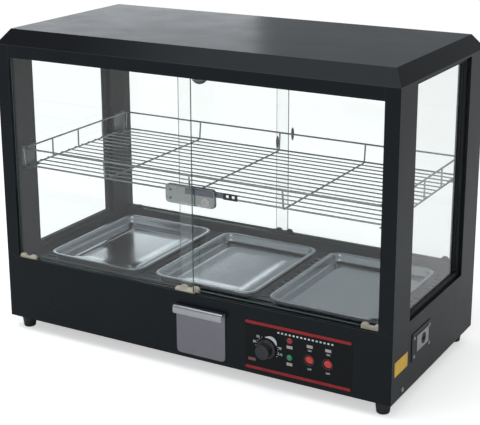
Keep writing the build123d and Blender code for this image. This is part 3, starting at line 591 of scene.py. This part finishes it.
def buildDrawerFront():
    lowCorner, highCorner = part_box("water_drawer_front")
    sheet, corner = drawerSpec["sheet"], drawerSpec["corner"]
    topFold, lipFold = drawerSpec["topFold"], drawerSpec["lipFold"]
    x0, x1 = lowCorner.x, highCorner.x
    plateY, lipY = highCorner.y - sheet / 2, lowCorner.y + sheet / 2
    top, bottom = highCorner.z - sheet / 2, lowCorner.z
    # side view from the plate's foot, up, over the fold and down the lip: (y, z, in from the ends)
    line = [(plateY, bottom + corner * grow, corner * fall) for grow, fall in quarterTurn(8)]
    rise = top - topFold - bottom - corner
    line += [(plateY, bottom + corner + rise * share, 0.0) for share in drawerSpec["plateRows"]]
    line += [(plateY - topFold * grow, top - topFold * fall, 0.0) for grow, fall in quarterTurn(5)[1:]]
    foldStart = len(line)
    line += [(lipY + lipFold * fall, top - lipFold * grow, 0.0) for grow, fall in quarterTurn(6)]
    foot = highCorner.z - drawerSpec["lip"]
    line += [(lipY + back, foot + up, ends) for up, back, ends in drawerSpec["lipFoot"]]
    columns = drawerSpec["columns"]
    count = len(columns)
    verts, faces = [], []
    for y, z, ends in line:
        verts += [(x0 + ends + (x1 - x0 - 2 * ends) * share, y, z) for share in columns]
    for row in range(len(line) - 1):
        a, b = row * count, (row + 1) * count
        faces += [(a + i, a + i + 1, b + i + 1, b + i) for i in range(count - 1)]
    plate = makePiece("drawer_folded_front", verts, faces, finish["drawer"], "water_drawer", "stainless",
                      50)
    # the faces past the fold take the paler copy of the steel: painted light on the lip
    plate.data.materials.append(finish["lip"])
    for face in plate.data.polygons:
        face.material_index = 1 if min(face.vertices) >= (foldStart - 1) * count else 0
    softened(thickened(plate, sheet, side=0.0), drawerSpec["round"], angle=50)
    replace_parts(plate, "water_drawer_front")


# Thermostat knob: skirt, fluted grip and a painted glint, a white mark that stands for a highlight

knobSpec = {
    "grip": 15.5 * mm, "skirt": 20 * mm, "skirtTall": 5 * mm, "edge": 0.3 * mm, "segments": 168,
    "flutes": 14, "fluteDepth": 1.1 * mm, "fluteShape": 1.5, "fluteFrom": 0.8, "fluteEnd": 1.2 * mm,
    # (share of the grip's radius, mm behind the knob's face)
    "face": ((0.30, 1.1), (0.60, 0.9), (0.72, 0.35), (0.85, 0.0), (0.94, 0.35), (0.985, 1.3), (1.0, 3.0)),
    # (share of the grip's radius, mm behind the skirt's face)
    "gripFoot": ((1.01, -2.4), (1.03, -1.0), (1.10, 0.0)),
    # (mm inside the skirt's radius, mm behind the skirt's face)
    "skirtFace": ((1.6, 0.5), (0.5, 1.1), (0.0, 2.2)),
    "glintAt": -128,  # degrees; the painted glint sits at the knob's lower left
    "glintHalf": 0.9 * mm, "glintReach": (0.86, 0.97), "glintDepth": (0.25 * mm, 1.05 * mm),
}


# Corners of a bar along a ray from the knob's centre, in (x, z)
def radialBar(centre, degrees, start, end, half):
    sine, cosine = math.sin(math.radians(degrees)), math.cos(math.radians(degrees))
    return [(centre.x + sine * reach + cosine * across, centre.z + cosine * reach - sine * across)
            for reach, across in ((start, -half), (end, -half), (end, half), (start, half))]


def buildKnob():
    centre = middle("thermostat_knob")
    y0, y1 = low("thermostat_knob").y, high("thermostat_knob").y
    skirtY = y1 - knobSpec["skirtTall"]
    grip, skirt, edge = knobSpec["grip"], knobSpec["skirt"], knobSpec["edge"]

    def flute(angle, radius, y):
        if y > skirtY - knobSpec["fluteEnd"] or radius < grip * knobSpec["fluteFrom"]:
            return 0.0
        groove = max(0.0, math.cos(angle * knobSpec["flutes"]))
        return -knobSpec["fluteDepth"] * groove ** knobSpec["fluteShape"]

    profile = [(grip * share, y0 + back * mm) for share, back in knobSpec["face"]]
    profile += [(grip * share, skirtY + back * mm) for share, back in knobSpec["gripFoot"]]
    profile += [(skirt - inset * mm, skirtY + back * mm) for inset, back in knobSpec["skirtFace"]]
    profile += [(skirt, y1 - edge), (skirt - edge, y1)]
    cap = makePiece("knob_moulded", *turned(profile, centre, knobSpec["segments"], flute), finish["black"],
                    "thermostat_knob", "black_plastic", 40)
    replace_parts(cap, "thermostat_knob")
    # Painted highlight: a white mark on the skirt's lower left stands for a glint
    start, end = (skirt * share for share in knobSpec["glintReach"])
    bar = radialBar(centre, knobSpec["glintAt"], start, end, knobSpec["glintHalf"])
    front, back = (skirtY + depth for depth in knobSpec["glintDepth"])
    makePiece("knob_painted_glint", *prism(bar, front, back), finish["whitePrint"], "thermostat_knob",
              "black_plastic")


# Printed marks: thin raised ink on the panel

inkSpec = {
    "thick": 0.12 * mm, "sunk": 0.02 * mm, "corner": 0.4 * mm, "fontShare": 1.35, "bold": 0.02,
    "roundest": 1 / 2.01,  # share of a mark's smaller side, just under half
}


def inked(outline):
    y = low("control_panel").y
    return prism(outline, y - inkSpec["thick"], y + inkSpec["sunk"])


def plainMark(name, x, z, width, height, material, radius=inkSpec["corner"]):
    corner = min(radius, min(width, height) * inkSpec["roundest"])
    outline = roundedRect(width, height, corner, steps=4)
    makePiece(name, *inked([(x + a, z + b) for a, b in outline]), material, "case", "panel_print")


def printedText(name, words, x, z, height):
    font = bpy.data.curves.new(name, "FONT")
    font.body = words
    font.size = height * inkSpec["fontShare"]
    font.align_x = "CENTER"
    font.align_y = "CENTER"
    font.extrude = inkSpec["thick"] / 2
    font.offset = height * inkSpec["bold"]
    place = Matrix.Translation((x, low("control_panel").y - inkSpec["thick"] / 2, z))
    upright = Matrix.Rotation(math.pi / 2, 4, "X")
    mesh = curveMesh(name, font, finish["whitePrint"], place @ upright)
    addPiece(name, mesh, "case")


dialSpec = {
    "inner": 23.0 * mm, "outer": 24.4 * mm, "band": (-10, 62), "swell": 5.6 * mm, "skew": 1.2, "steps": 18,
    "tickOuter": 26.0 * mm, "tickHalf": 0.35 * mm, "leftTicks": (-84, -14, 14), "rightTicks": (70, 126, 12),
    "numbers": 29.5 * mm, "numberHeight": 5.0 * mm,
    "marks": ((-70, "30"), (-42, "50"), (76, "90"), (101, "110")),
}


def buildDial():
    centre = middle("thermostat_knob")
    y = low("control_panel").y
    front, back, inner = y - inkSpec["thick"], y + inkSpec["sunk"], dialSpec["inner"]
    first, last = dialSpec["band"]
    rings = []
    for i in range(dialSpec["steps"] + 1):
        share = i / dialSpec["steps"]
        angle = math.radians(first + (last - first) * share)
        outer = dialSpec["outer"] + dialSpec["swell"] * math.sin(math.pi * share ** dialSpec["skew"])
        section = ((inner, front), (outer, front), (outer, back), (inner, back))
        rings.append([(centre.x + radius * math.sin(angle), depth, centre.z + radius * math.cos(angle))
                      for radius, depth in section])
    makePiece("dial_band", *skin(rings, True, True), finish["whitePrint"], "case", "panel_print")
    ticks = []
    for degrees in list(range(*dialSpec["leftTicks"])) + list(range(*dialSpec["rightTicks"])):
        bar = radialBar(centre, degrees, inner, dialSpec["tickOuter"], dialSpec["tickHalf"])
        ticks.append(inked(bar))
    makePiece("dial_ticks", *gather(ticks), finish["whitePrint"], "case", "panel_print")
    for degrees, words in dialSpec["marks"]:
        angle, reach = math.radians(degrees), dialSpec["numbers"]
        printedText(f"dial_{words}", words, centre.x + reach * math.sin(angle),
                    centre.z + reach * math.cos(angle), dialSpec["numberHeight"])


panelSpec = {
    "stripeHeight": 6.2 * mm, "stripeEnds": 2.0 * mm, "stripeMargin": 0.6 * mm, "stripeRound": 1 / 2.02,
    "labelWidth": 12.5 * mm, "labelHeight": 6.0 * mm, "redLabelDown": 13.5 * mm, "greenLabelDown": 14 * mm,
    "dialLabel": (17 * mm, 21 * mm), "dialLabelStretch": 1.3,
    "switchLabelUp": 27 * mm, "onUp": 18.5 * mm, "offDown": 20 * mm, "wordHeight": 3.6 * mm,
    "dashes": 15, "dashesFrom": 75 * mm, "dashPitch": 8.2 * mm, "dashShare": 0.5, "dashHeight": 3.4 * mm,
    "dashDown": 14 * mm,
}


def buildPanelPrint():
    lowCorner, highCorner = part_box("control_panel")
    centreX = (lowCorner.x + highCorner.x) / 2
    stripe = highCorner.x - lowCorner.x - 2 * panelSpec["stripeEnds"]
    thick, margin = panelSpec["stripeHeight"], panelSpec["stripeMargin"]
    labelSize = (panelSpec["labelWidth"], panelSpec["labelHeight"])
    stripes = (("upper", highCorner.z - thick / 2 - margin), ("lower", lowCorner.z + thick / 2 + margin))
    for label, z in stripes:
        plainMark(f"panel_stripe_{label}", centreX, z, stripe, thick, finish["stripe"],
                  thick * panelSpec["stripeRound"])
    for label in ("red", "green"):
        spot = middle(f"{label}_indicator")
        plainMark(f"label_{label}", spot.x, spot.z - panelSpec[label + "LabelDown"], *labelSize,
                  finish["palePrint"])
    inward, up = panelSpec["dialLabel"]
    plainMark("label_dial", lowCorner.x + inward, lowCorner.z + up,
              panelSpec["labelWidth"] * panelSpec["dialLabelStretch"], panelSpec["labelHeight"],
              finish["redPrint"])
    pitch = panelSpec["dashPitch"]
    for i in range(panelSpec["dashes"]):
        plainMark(f"dash_{i + 1}", lowCorner.x + panelSpec["dashesFrom"] + i * pitch,
                  highCorner.z - panelSpec["dashDown"], pitch * panelSpec["dashShare"],
                  panelSpec["dashHeight"], finish["whitePrint"])
    for label in ("left", "right"):
        spot = middle(f"{label}_rocker")
        plainMark(f"label_switch_{label}", spot.x, spot.z + panelSpec["switchLabelUp"], *labelSize,
                  finish["palePrint"])
        tall = panelSpec["wordHeight"]
        printedText(f"switch_{label}_on", "ON", spot.x, spot.z + panelSpec["onUp"], tall)
        printedText(f"switch_{label}_off", "OFF", spot.x, spot.z - panelSpec["offDown"], tall)


buildDrawerFront()
buildKnob()
buildDial()
buildPanelPrint()
print("drawer, knob, dial and print made")


# Door carriers: moulded shoes that clip over the foot of each pane

shoeSpec = {
    "half": 21 * mm, "thick": 8 * mm, "groove": 4.1 * mm, "round": 0.45 * mm,
    # the filled pockets beside the wheel: across from its middle, and up from the foot
    "pocketAcross": (6.2 * mm, 20.4 * mm), "pocketUp": (3.6 * mm, 8.1 * mm),
    # right half of the outline in mm: over the top to its middle, and the foot from its outer end
    "hump": ((21.0, 9.6), (20.4, 12.6), (18.4, 14.8), (15.4, 16.0), (10.2, 16.0), (8.0, 15.2),
             (6.6, 13.4), (5.4, 11.8), (3.6, 11.2), (0.0, 11.2)),
    "notch": ((21.0, 0.0), (18.5, 0.0), (17.5, 2.4), (15.0, 3.5), (12.5, 2.4), (11.5, 0.0)),
}


def shoeOutline(x, z):
    hump, notch = list(shoeSpec["hump"]), list(shoeSpec["notch"])
    top = hump + [(-a, b) for a, b in reversed(hump[:-1])]
    foot = [(-a, b) for a, b in notch] + notch[::-1]
    return [(x + a * mm, z + b * mm) for a, b in top + foot]


def buildCarriers(door):
    lowCorner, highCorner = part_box(door + "_carriers")
    lane, foot = middle(door + "_glass").y, lowCorner.z
    half, thick, groove = shoeSpec["half"], shoeSpec["thick"] / 2, shoeSpec["groove"] / 2
    pocketLow, pocketHigh = (foot + up for up in shoeSpec["pocketUp"])
    parts = []
    for x in (lowCorner.x + half, highCorner.x - half):
        outline = shoeOutline(x, foot)
        parts += [prism(outline, lane - thick, lane - groove), prism(outline, lane + groove, lane + thick)]
        for side in (-1, 1):
            near, far = (x + side * across for across in shoeSpec["pocketAcross"])
            parts.append(prism(rectangle(near, far, pocketLow, pocketHigh), lane - groove, lane + groove))
    # rear shoes are the same cream part as the front ones; their black is painted shade
    colour = "black" if door.startswith("rear") else "cream"
    shoes = makePiece(door + "_shoes", *gather(parts), finish[colour], door, colour + "_plastic", 30)
    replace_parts(softened(shoes, shoeSpec["round"], angle=50), door + "_carriers")


# Finger pulls: a slim lens of clear grey plastic bonded to each rear pane's outer face

pullSpec = {
    "width": 7 * mm, "height": 30 * mm, "thick": 4.8 * mm, "blunt": 0.08, "rows": 12, "around": 14,
    "inward": {"rear_right_door": 38 * mm, "rear_left_door": 28 * mm},
}


def buildPull(door):
    paneLow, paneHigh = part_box(door + "_glass")
    inward = pullSpec["inward"][door]
    x = paneLow.x + inward if door == "rear_right_door" else paneHigh.x - inward
    tall, blunt = pullSpec["height"], pullSpec["blunt"]
    z = high(door + "_carriers").z - tall / 2
    rings = []
    for i in range(pullSpec["rows"] + 1):
        t = -1 + 2 * i / pullSpec["rows"]
        swell = math.sqrt(max(0.0, 1 - t * t)) * (1 - blunt) + blunt
        angles = [math.pi * k / (pullSpec["around"] - 1) for k in range(pullSpec["around"])]
        rings.append([(x + math.cos(angle) * pullSpec["width"] / 2 * swell,
                       paneHigh.y + math.sin(angle) * pullSpec["thick"] * swell,
                       z + t * tall / 2) for angle in angles])
    makePiece(door + "_finger_pull", *skin(rings, True, True), finish["pull"], door, "black_plastic", 60)


for door in doors:
    buildCarriers(door)
for door in ("rear_left_door", "rear_right_door"):
    buildPull(door)
print("door carriers and pulls moulded")


# Door lock: a pressed case with a dished face, a bar with square holes, and a collar round the barrel

lockSpec = {
    "width": 112 * mm, "height": 39 * mm, "corner": 8 * mm, "round": 0.35 * mm,
    # the case's front: (in from the outline, behind the face), ending in the dish
    "front": ((0.0, 1.3 * mm), (0.4 * mm, 0.35 * mm), (1.2 * mm, 0.0), (2.2 * mm, 0.0),
              (3.2 * mm, 0.9 * mm)),
    "barDown": 10 * mm, "barHeight": 13 * mm, "barThick": 2 * mm, "barBack": 1 * mm, "proud": 0.1 * mm,
    "guideEnds": (66 * mm, 3.4 * mm), "guideTrim": 1 * mm, "barIn": 4 * mm, "barTrim": 2 * mm,
    "endPiece": 31 * mm, "holes": 2, "hole": 6.5 * mm, "firstHole": 9 * mm, "holePitch": 13 * mm,
    "collar": 2.4 * mm, "collarEdge": 0.5 * mm, "collarSides": 48,
    "screwRadius": 2.6 * mm, "screwIn": 12 * mm, "screwsUp": (8 * mm, -9 * mm),
    # (share of the screw's radius, behind the face)
    "screwHead": ((0.2, 0.15 * mm), (0.7, 0.2 * mm), (1.0, 0.5 * mm)),
}


# A flat bar in (x, z) from y0 to y1, with square holes given as (centre, size)
def holedBar(x0, x1, z0, z1, y0, y1, holes):
    zMid = (z0 + z1) / 2
    parts, start = [], x0
    for centre, size in sorted(holes):
        a, b = centre - size / 2, centre + size / 2
        parts += [prism(rectangle(start, a, z0, z1), y0, y1),
                  prism(rectangle(a, b, z0, zMid - size / 2), y0, y1),
                  prism(rectangle(a, b, zMid + size / 2, z1), y0, y1)]
        start = b
    parts.append(prism(rectangle(start, x1, z0, z1), y0, y1))
    return gather(parts)


def lockPiece(name, verts, faces, key, sharpAngle=35):
    return makePiece(name, verts, faces, finish[key], "front_right_door", "lock_metal", sharpAngle)


def buildLockCase():
    lowCorner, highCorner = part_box("door_lock_housing")
    width, height = lockSpec["width"], lockSpec["height"]
    centreX, centreZ = lowCorner.x + width / 2, (lowCorner.z + highCorner.z) / 2
    rings = []
    section = [(0.0, highCorner.y)] + [(inset, lowCorner.y + back) for inset, back in lockSpec["front"]]
    for inset, y in section:
        outline = roundedRect(width - 2 * inset, height - 2 * inset, lockSpec["corner"] - inset)
        rings.append([(centreX + x, y, centreZ + z) for x, z in outline])
    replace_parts(lockPiece("lock_case", *skin(rings, True, True), "lock", 30), "door_lock_housing")


def buildLockBars():
    lowCorner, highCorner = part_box("door_lock_housing")
    caseEnd, tip = lowCorner.x + lockSpec["width"], highCorner.x
    face, dish = lowCorner.y + lockSpec["proud"], lowCorner.y + lockSpec["front"][-1][1]
    barZ = highCorner.z - lockSpec["barDown"]
    z0, z1 = barZ - lockSpec["barHeight"] / 2, barZ + lockSpec["barHeight"] / 2
    rear = highCorner.y - lockSpec["barBack"]
    front, trim = rear - lockSpec["barThick"], lockSpec["barTrim"]
    barFrom, darkFrom = caseEnd - lockSpec["barIn"], tip - lockSpec["endPiece"]
    guideFrom, guideTo = (caseEnd - reach for reach in lockSpec["guideEnds"])
    holes = [(tip - lockSpec["firstHole"] - i * lockSpec["holePitch"], lockSpec["hole"])
             for i in range(lockSpec["holes"])]
    bars = (
        ("lock_bar_guide", "lockBar", guideFrom, guideTo, z0 + lockSpec["guideTrim"], z1, face, dish, []),
        ("lock_bar", "lockBar", barFrom, darkFrom, z0 + trim, z1 - trim, front, rear, []),
        ("lock_bar_end", "darkSteel", darkFrom, tip, z0, z1, front, rear, holes),
    )
    for name, key, *measures in bars:
        softened(lockPiece(name, *holedBar(*measures), key), lockSpec["round"])


def buildLockTrim():
    lowCorner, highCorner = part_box("door_lock_housing")
    y0 = lowCorner.y
    face, dish = y0 + lockSpec["proud"], y0 + lockSpec["front"][-1][1]
    hub = middle("door_lock_barrel")
    inner = (high("door_lock_barrel").x - low("door_lock_barrel").x) / 2 + lockSpec["proud"]
    outer, edge = inner + lockSpec["collar"], lockSpec["collarEdge"]
    section = ((inner, dish), (outer, dish), (outer, y0 + edge), (outer - edge, face), (inner, face),
               (inner, dish))
    rings = [[(hub.x + x, y, hub.z + z) for x, z in circle(radius, lockSpec["collarSides"])]
             for radius, y in section]
    lockPiece("lock_barrel_collar", *skin(rings), "screw", 30)
    heads = []
    for up in lockSpec["screwsUp"]:
        radius = lockSpec["screwRadius"]
        profile = [(radius * share, y0 + back) for share, back in lockSpec["screwHead"]] + [(radius, dish)]
        place = (lowCorner.x + lockSpec["screwIn"], 0, (lowCorner.z + highCorner.z) / 2 + up)
        heads.append(turned(profile, place, segments=24))
    lockPiece("lock_screws", *gather(heads), "darkSteel", 40)


buildLockCase()
buildLockBars()
buildLockTrim()
print("lock made")


# Lamp: filament and its stays inside the bulb

lampSpec = {"wire": 0.25 * mm, "coils": 7, "coilSteps": 10, "coilWidth": 0.8 * mm, "spread": 4 * mm,
            "stayApart": 2 * mm, "stayTop": 2 * mm}


def buildFilament():
    lowCorner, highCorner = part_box("lamp_bulb")
    centre = (lowCorner + highCorner) / 2
    heart = lowCorner.z + (highCorner.x - lowCorner.x) / 2
    reach, width, steps = lampSpec["spread"], lampSpec["coilWidth"], lampSpec["coilSteps"]
    last = lampSpec["coils"] * steps
    coil = []
    for i in range(last + 1):
        angle = 2 * math.pi * i / steps
        coil.append((centre.x - reach + 2 * reach * i / last, centre.y + width * math.cos(angle),
                     heart + width * math.sin(angle)))
    paths = [(coil, False)]
    for end, side in ((coil[0], -1), (coil[-1], 1)):
        top = (centre.x + side * lampSpec["stayApart"], centre.y, highCorner.z - lampSpec["stayTop"])
        paths.append(([end, top], False))
    wirePiece("lamp_filament", paths, lampSpec["wire"], finish["screw"], "case", sides=2)


buildFilament()
print("lamp made")


# Stage: pale floor, white surroundings, soft lamps

stageSpec = {
    "floorHalf": 6.0, "floorTone": grey(0.90, 0.90, 0.90), "floorLift": 0.50, "mirrorLift": 0.05,
    "floorRough": 0.9, "worldLight": 0.55, "white": grey(1.0, 1.0, 1.0),
    # mirrors see the white backdrop end at a grey studio ceiling
    "ceilingFrom": (-0.05, 0.07), "ceilingTone": (1.0, 0.38), "mirrorTint": grey(0.88, 0.94, 1.0),
    "lamps": (
        # name, place, aim, width, height, power, colour
        ("overhead", (-0.35, -0.9, 2.6), (0.0, 0.0, 0.3), 1.9, 1.5, 24.0, (0.88, 0.94, 1.0)),
        ("leftWall", (-2.8, 2.6, 1.16), (0.0, 0.0, 0.6), 2.6, 0.6, 5.8, (0.93, 0.96, 1.0)),
        ("frontFill", (1.6, -3.2, 1.6), (0.0, 0.0, 0.3), 1.8, 1.4, 10.5, (0.86, 0.94, 1.0)),
    ),
}


# One closure for the eye, mirrors and glass, another for soft light
def litBackdrop(tree, plain, bright):
    path = tree.nodes.new("ShaderNodeLightPath")
    total = path.outputs["Is Camera Ray"]
    for ray in ("Is Glossy Ray", "Is Transmission Ray"):
        add = tree.nodes.new("ShaderNodeMath")
        add.operation = "ADD"
        add.use_clamp = True
        tree.links.new(total, add.inputs[0])
        tree.links.new(path.outputs[ray], add.inputs[1])
        total = add.outputs[0]
    mix = tree.nodes.new("ShaderNodeMixShader")
    tree.links.new(total, mix.inputs["Fac"])
    tree.links.new(plain, mix.inputs[1])
    tree.links.new(bright, mix.inputs[2])
    return mix.outputs["Shader"]


# One value for what the eye sees, another for what a mirror shows
def mirrorShare(tree, seen, mirrored):
    path = tree.nodes.new("ShaderNodeLightPath")
    return spread(tree, path.outputs["Glossy Depth"], 0.0, 1.0, seen, mirrored)


def backgroundNode(tree, colour):
    node = tree.nodes.new("ShaderNodeBackground")
    node.inputs["Color"].default_value = colour
    return node


def buildWorld():
    world = bpy.data.worlds.new("studio")
    bpy.context.scene.world = world
    world.use_nodes = True
    tree = world.node_tree
    soft = tree.nodes["Background"]
    soft.inputs["Color"].default_value = stageSpec["white"]
    soft.inputs["Strength"].default_value = stageSpec["worldLight"]
    seen = backgroundNode(tree, stageSpec["white"])
    mirrored = backgroundNode(tree, stageSpec["mirrorTint"])
    direction = tree.nodes.new("ShaderNodeTexCoord")
    split = tree.nodes.new("ShaderNodeSeparateXYZ")
    tree.links.new(direction.outputs["Generated"], split.inputs[0])
    tree.links.new(spread(tree, split.outputs["Z"], *stageSpec["ceilingFrom"], *stageSpec["ceilingTone"]),
                   mirrored.inputs["Strength"])
    mix = tree.nodes.new("ShaderNodeMixShader")
    tree.links.new(mirrorShare(tree, 0.0, 1.0), mix.inputs["Fac"])
    tree.links.new(seen.outputs[0], mix.inputs[1])
    tree.links.new(mirrored.outputs[0], mix.inputs[2])
    tree.links.new(litBackdrop(tree, soft.outputs[0], mix.outputs[0]),
                   tree.nodes["World Output"].inputs["Surface"])


def buildFloor():
    half = stageSpec["floorHalf"]
    corners = [(-half, -half, 0), (half, -half, 0), (half, half, 0), (-half, half, 0)]
    mesh = bpy.data.meshes.new("floor")
    mesh.from_pydata(corners, [], [(0, 1, 2, 3)])
    floor = bpy.data.objects.new("floor", mesh)
    bpy.context.scene.collection.objects.link(floor)
    material, tree, shader = startMaterial("paleFloor", Base_Color=stageSpec["floorTone"],
                                           Roughness=stageSpec["floorRough"], Specular_IOR_Level=0.0)
    glow = tree.nodes.new("ShaderNodeEmission")
    tree.links.new(mirrorShare(tree, stageSpec["floorLift"], stageSpec["mirrorLift"]),
                   glow.inputs["Strength"])
    both = tree.nodes.new("ShaderNodeAddShader")
    tree.links.new(shader.outputs["BSDF"], both.inputs[0])
    tree.links.new(glow.outputs[0], both.inputs[1])
    tree.links.new(litBackdrop(tree, shader.outputs["BSDF"], both.outputs[0]),
                   tree.nodes["Material Output"].inputs["Surface"])
    mesh.materials.append(material)


def buildLamps():
    for name, place, aim, width, height, power, colour in stageSpec["lamps"]:
        light = bpy.data.lights.new(name, "AREA")
        light.shape = "RECTANGLE"
        light.size = width
        light.size_y = height
        light.energy = power
        light.color = colour
        lamp = bpy.data.objects.new(name, light)
        lamp.location = place
        lamp.rotation_euler = (Vector(aim) - Vector(place)).to_track_quat("-Z", "Y").to_euler()
        bpy.context.scene.collection.objects.link(lamp)


# Camera where the photograph was taken from; angles in degrees, lens and sensor in mm

cameraSpec = {
    "place": (1235.5 * mm, -2142 * mm, 1085 * mm), "turn": 29.89, "tilt": 73.90, "roll": -0.24,
    "lens": 92.4, "sensor": 36.0, "shiftX": 0.005, "shiftY": -0.0885, "clipStart": 0.05,
}


def buildCamera():
    data = bpy.data.cameras.new("viewer")
    data.lens = cameraSpec["lens"]
    data.sensor_width = cameraSpec["sensor"]
    data.shift_x = cameraSpec["shiftX"]
    data.shift_y = cameraSpec["shiftY"]
    data.clip_start = cameraSpec["clipStart"]
    camera = bpy.data.objects.new("viewer", data)
    turn = Matrix.Rotation(math.radians(cameraSpec["turn"]), 4, "Z")
    tilt = Matrix.Rotation(math.radians(cameraSpec["tilt"]), 4, "X")
    roll = Matrix.Rotation(math.radians(cameraSpec["roll"]), 4, "Z")
    camera.matrix_world = Matrix.Translation(cameraSpec["place"]) @ turn @ tilt @ roll
    bpy.context.scene.collection.objects.link(camera)
    bpy.context.scene.camera = camera


buildWorld()
buildFloor()
buildLamps()
bpy.context.scene.view_settings.view_transform = "Standard"
buildCamera()
print("stage and camera set")
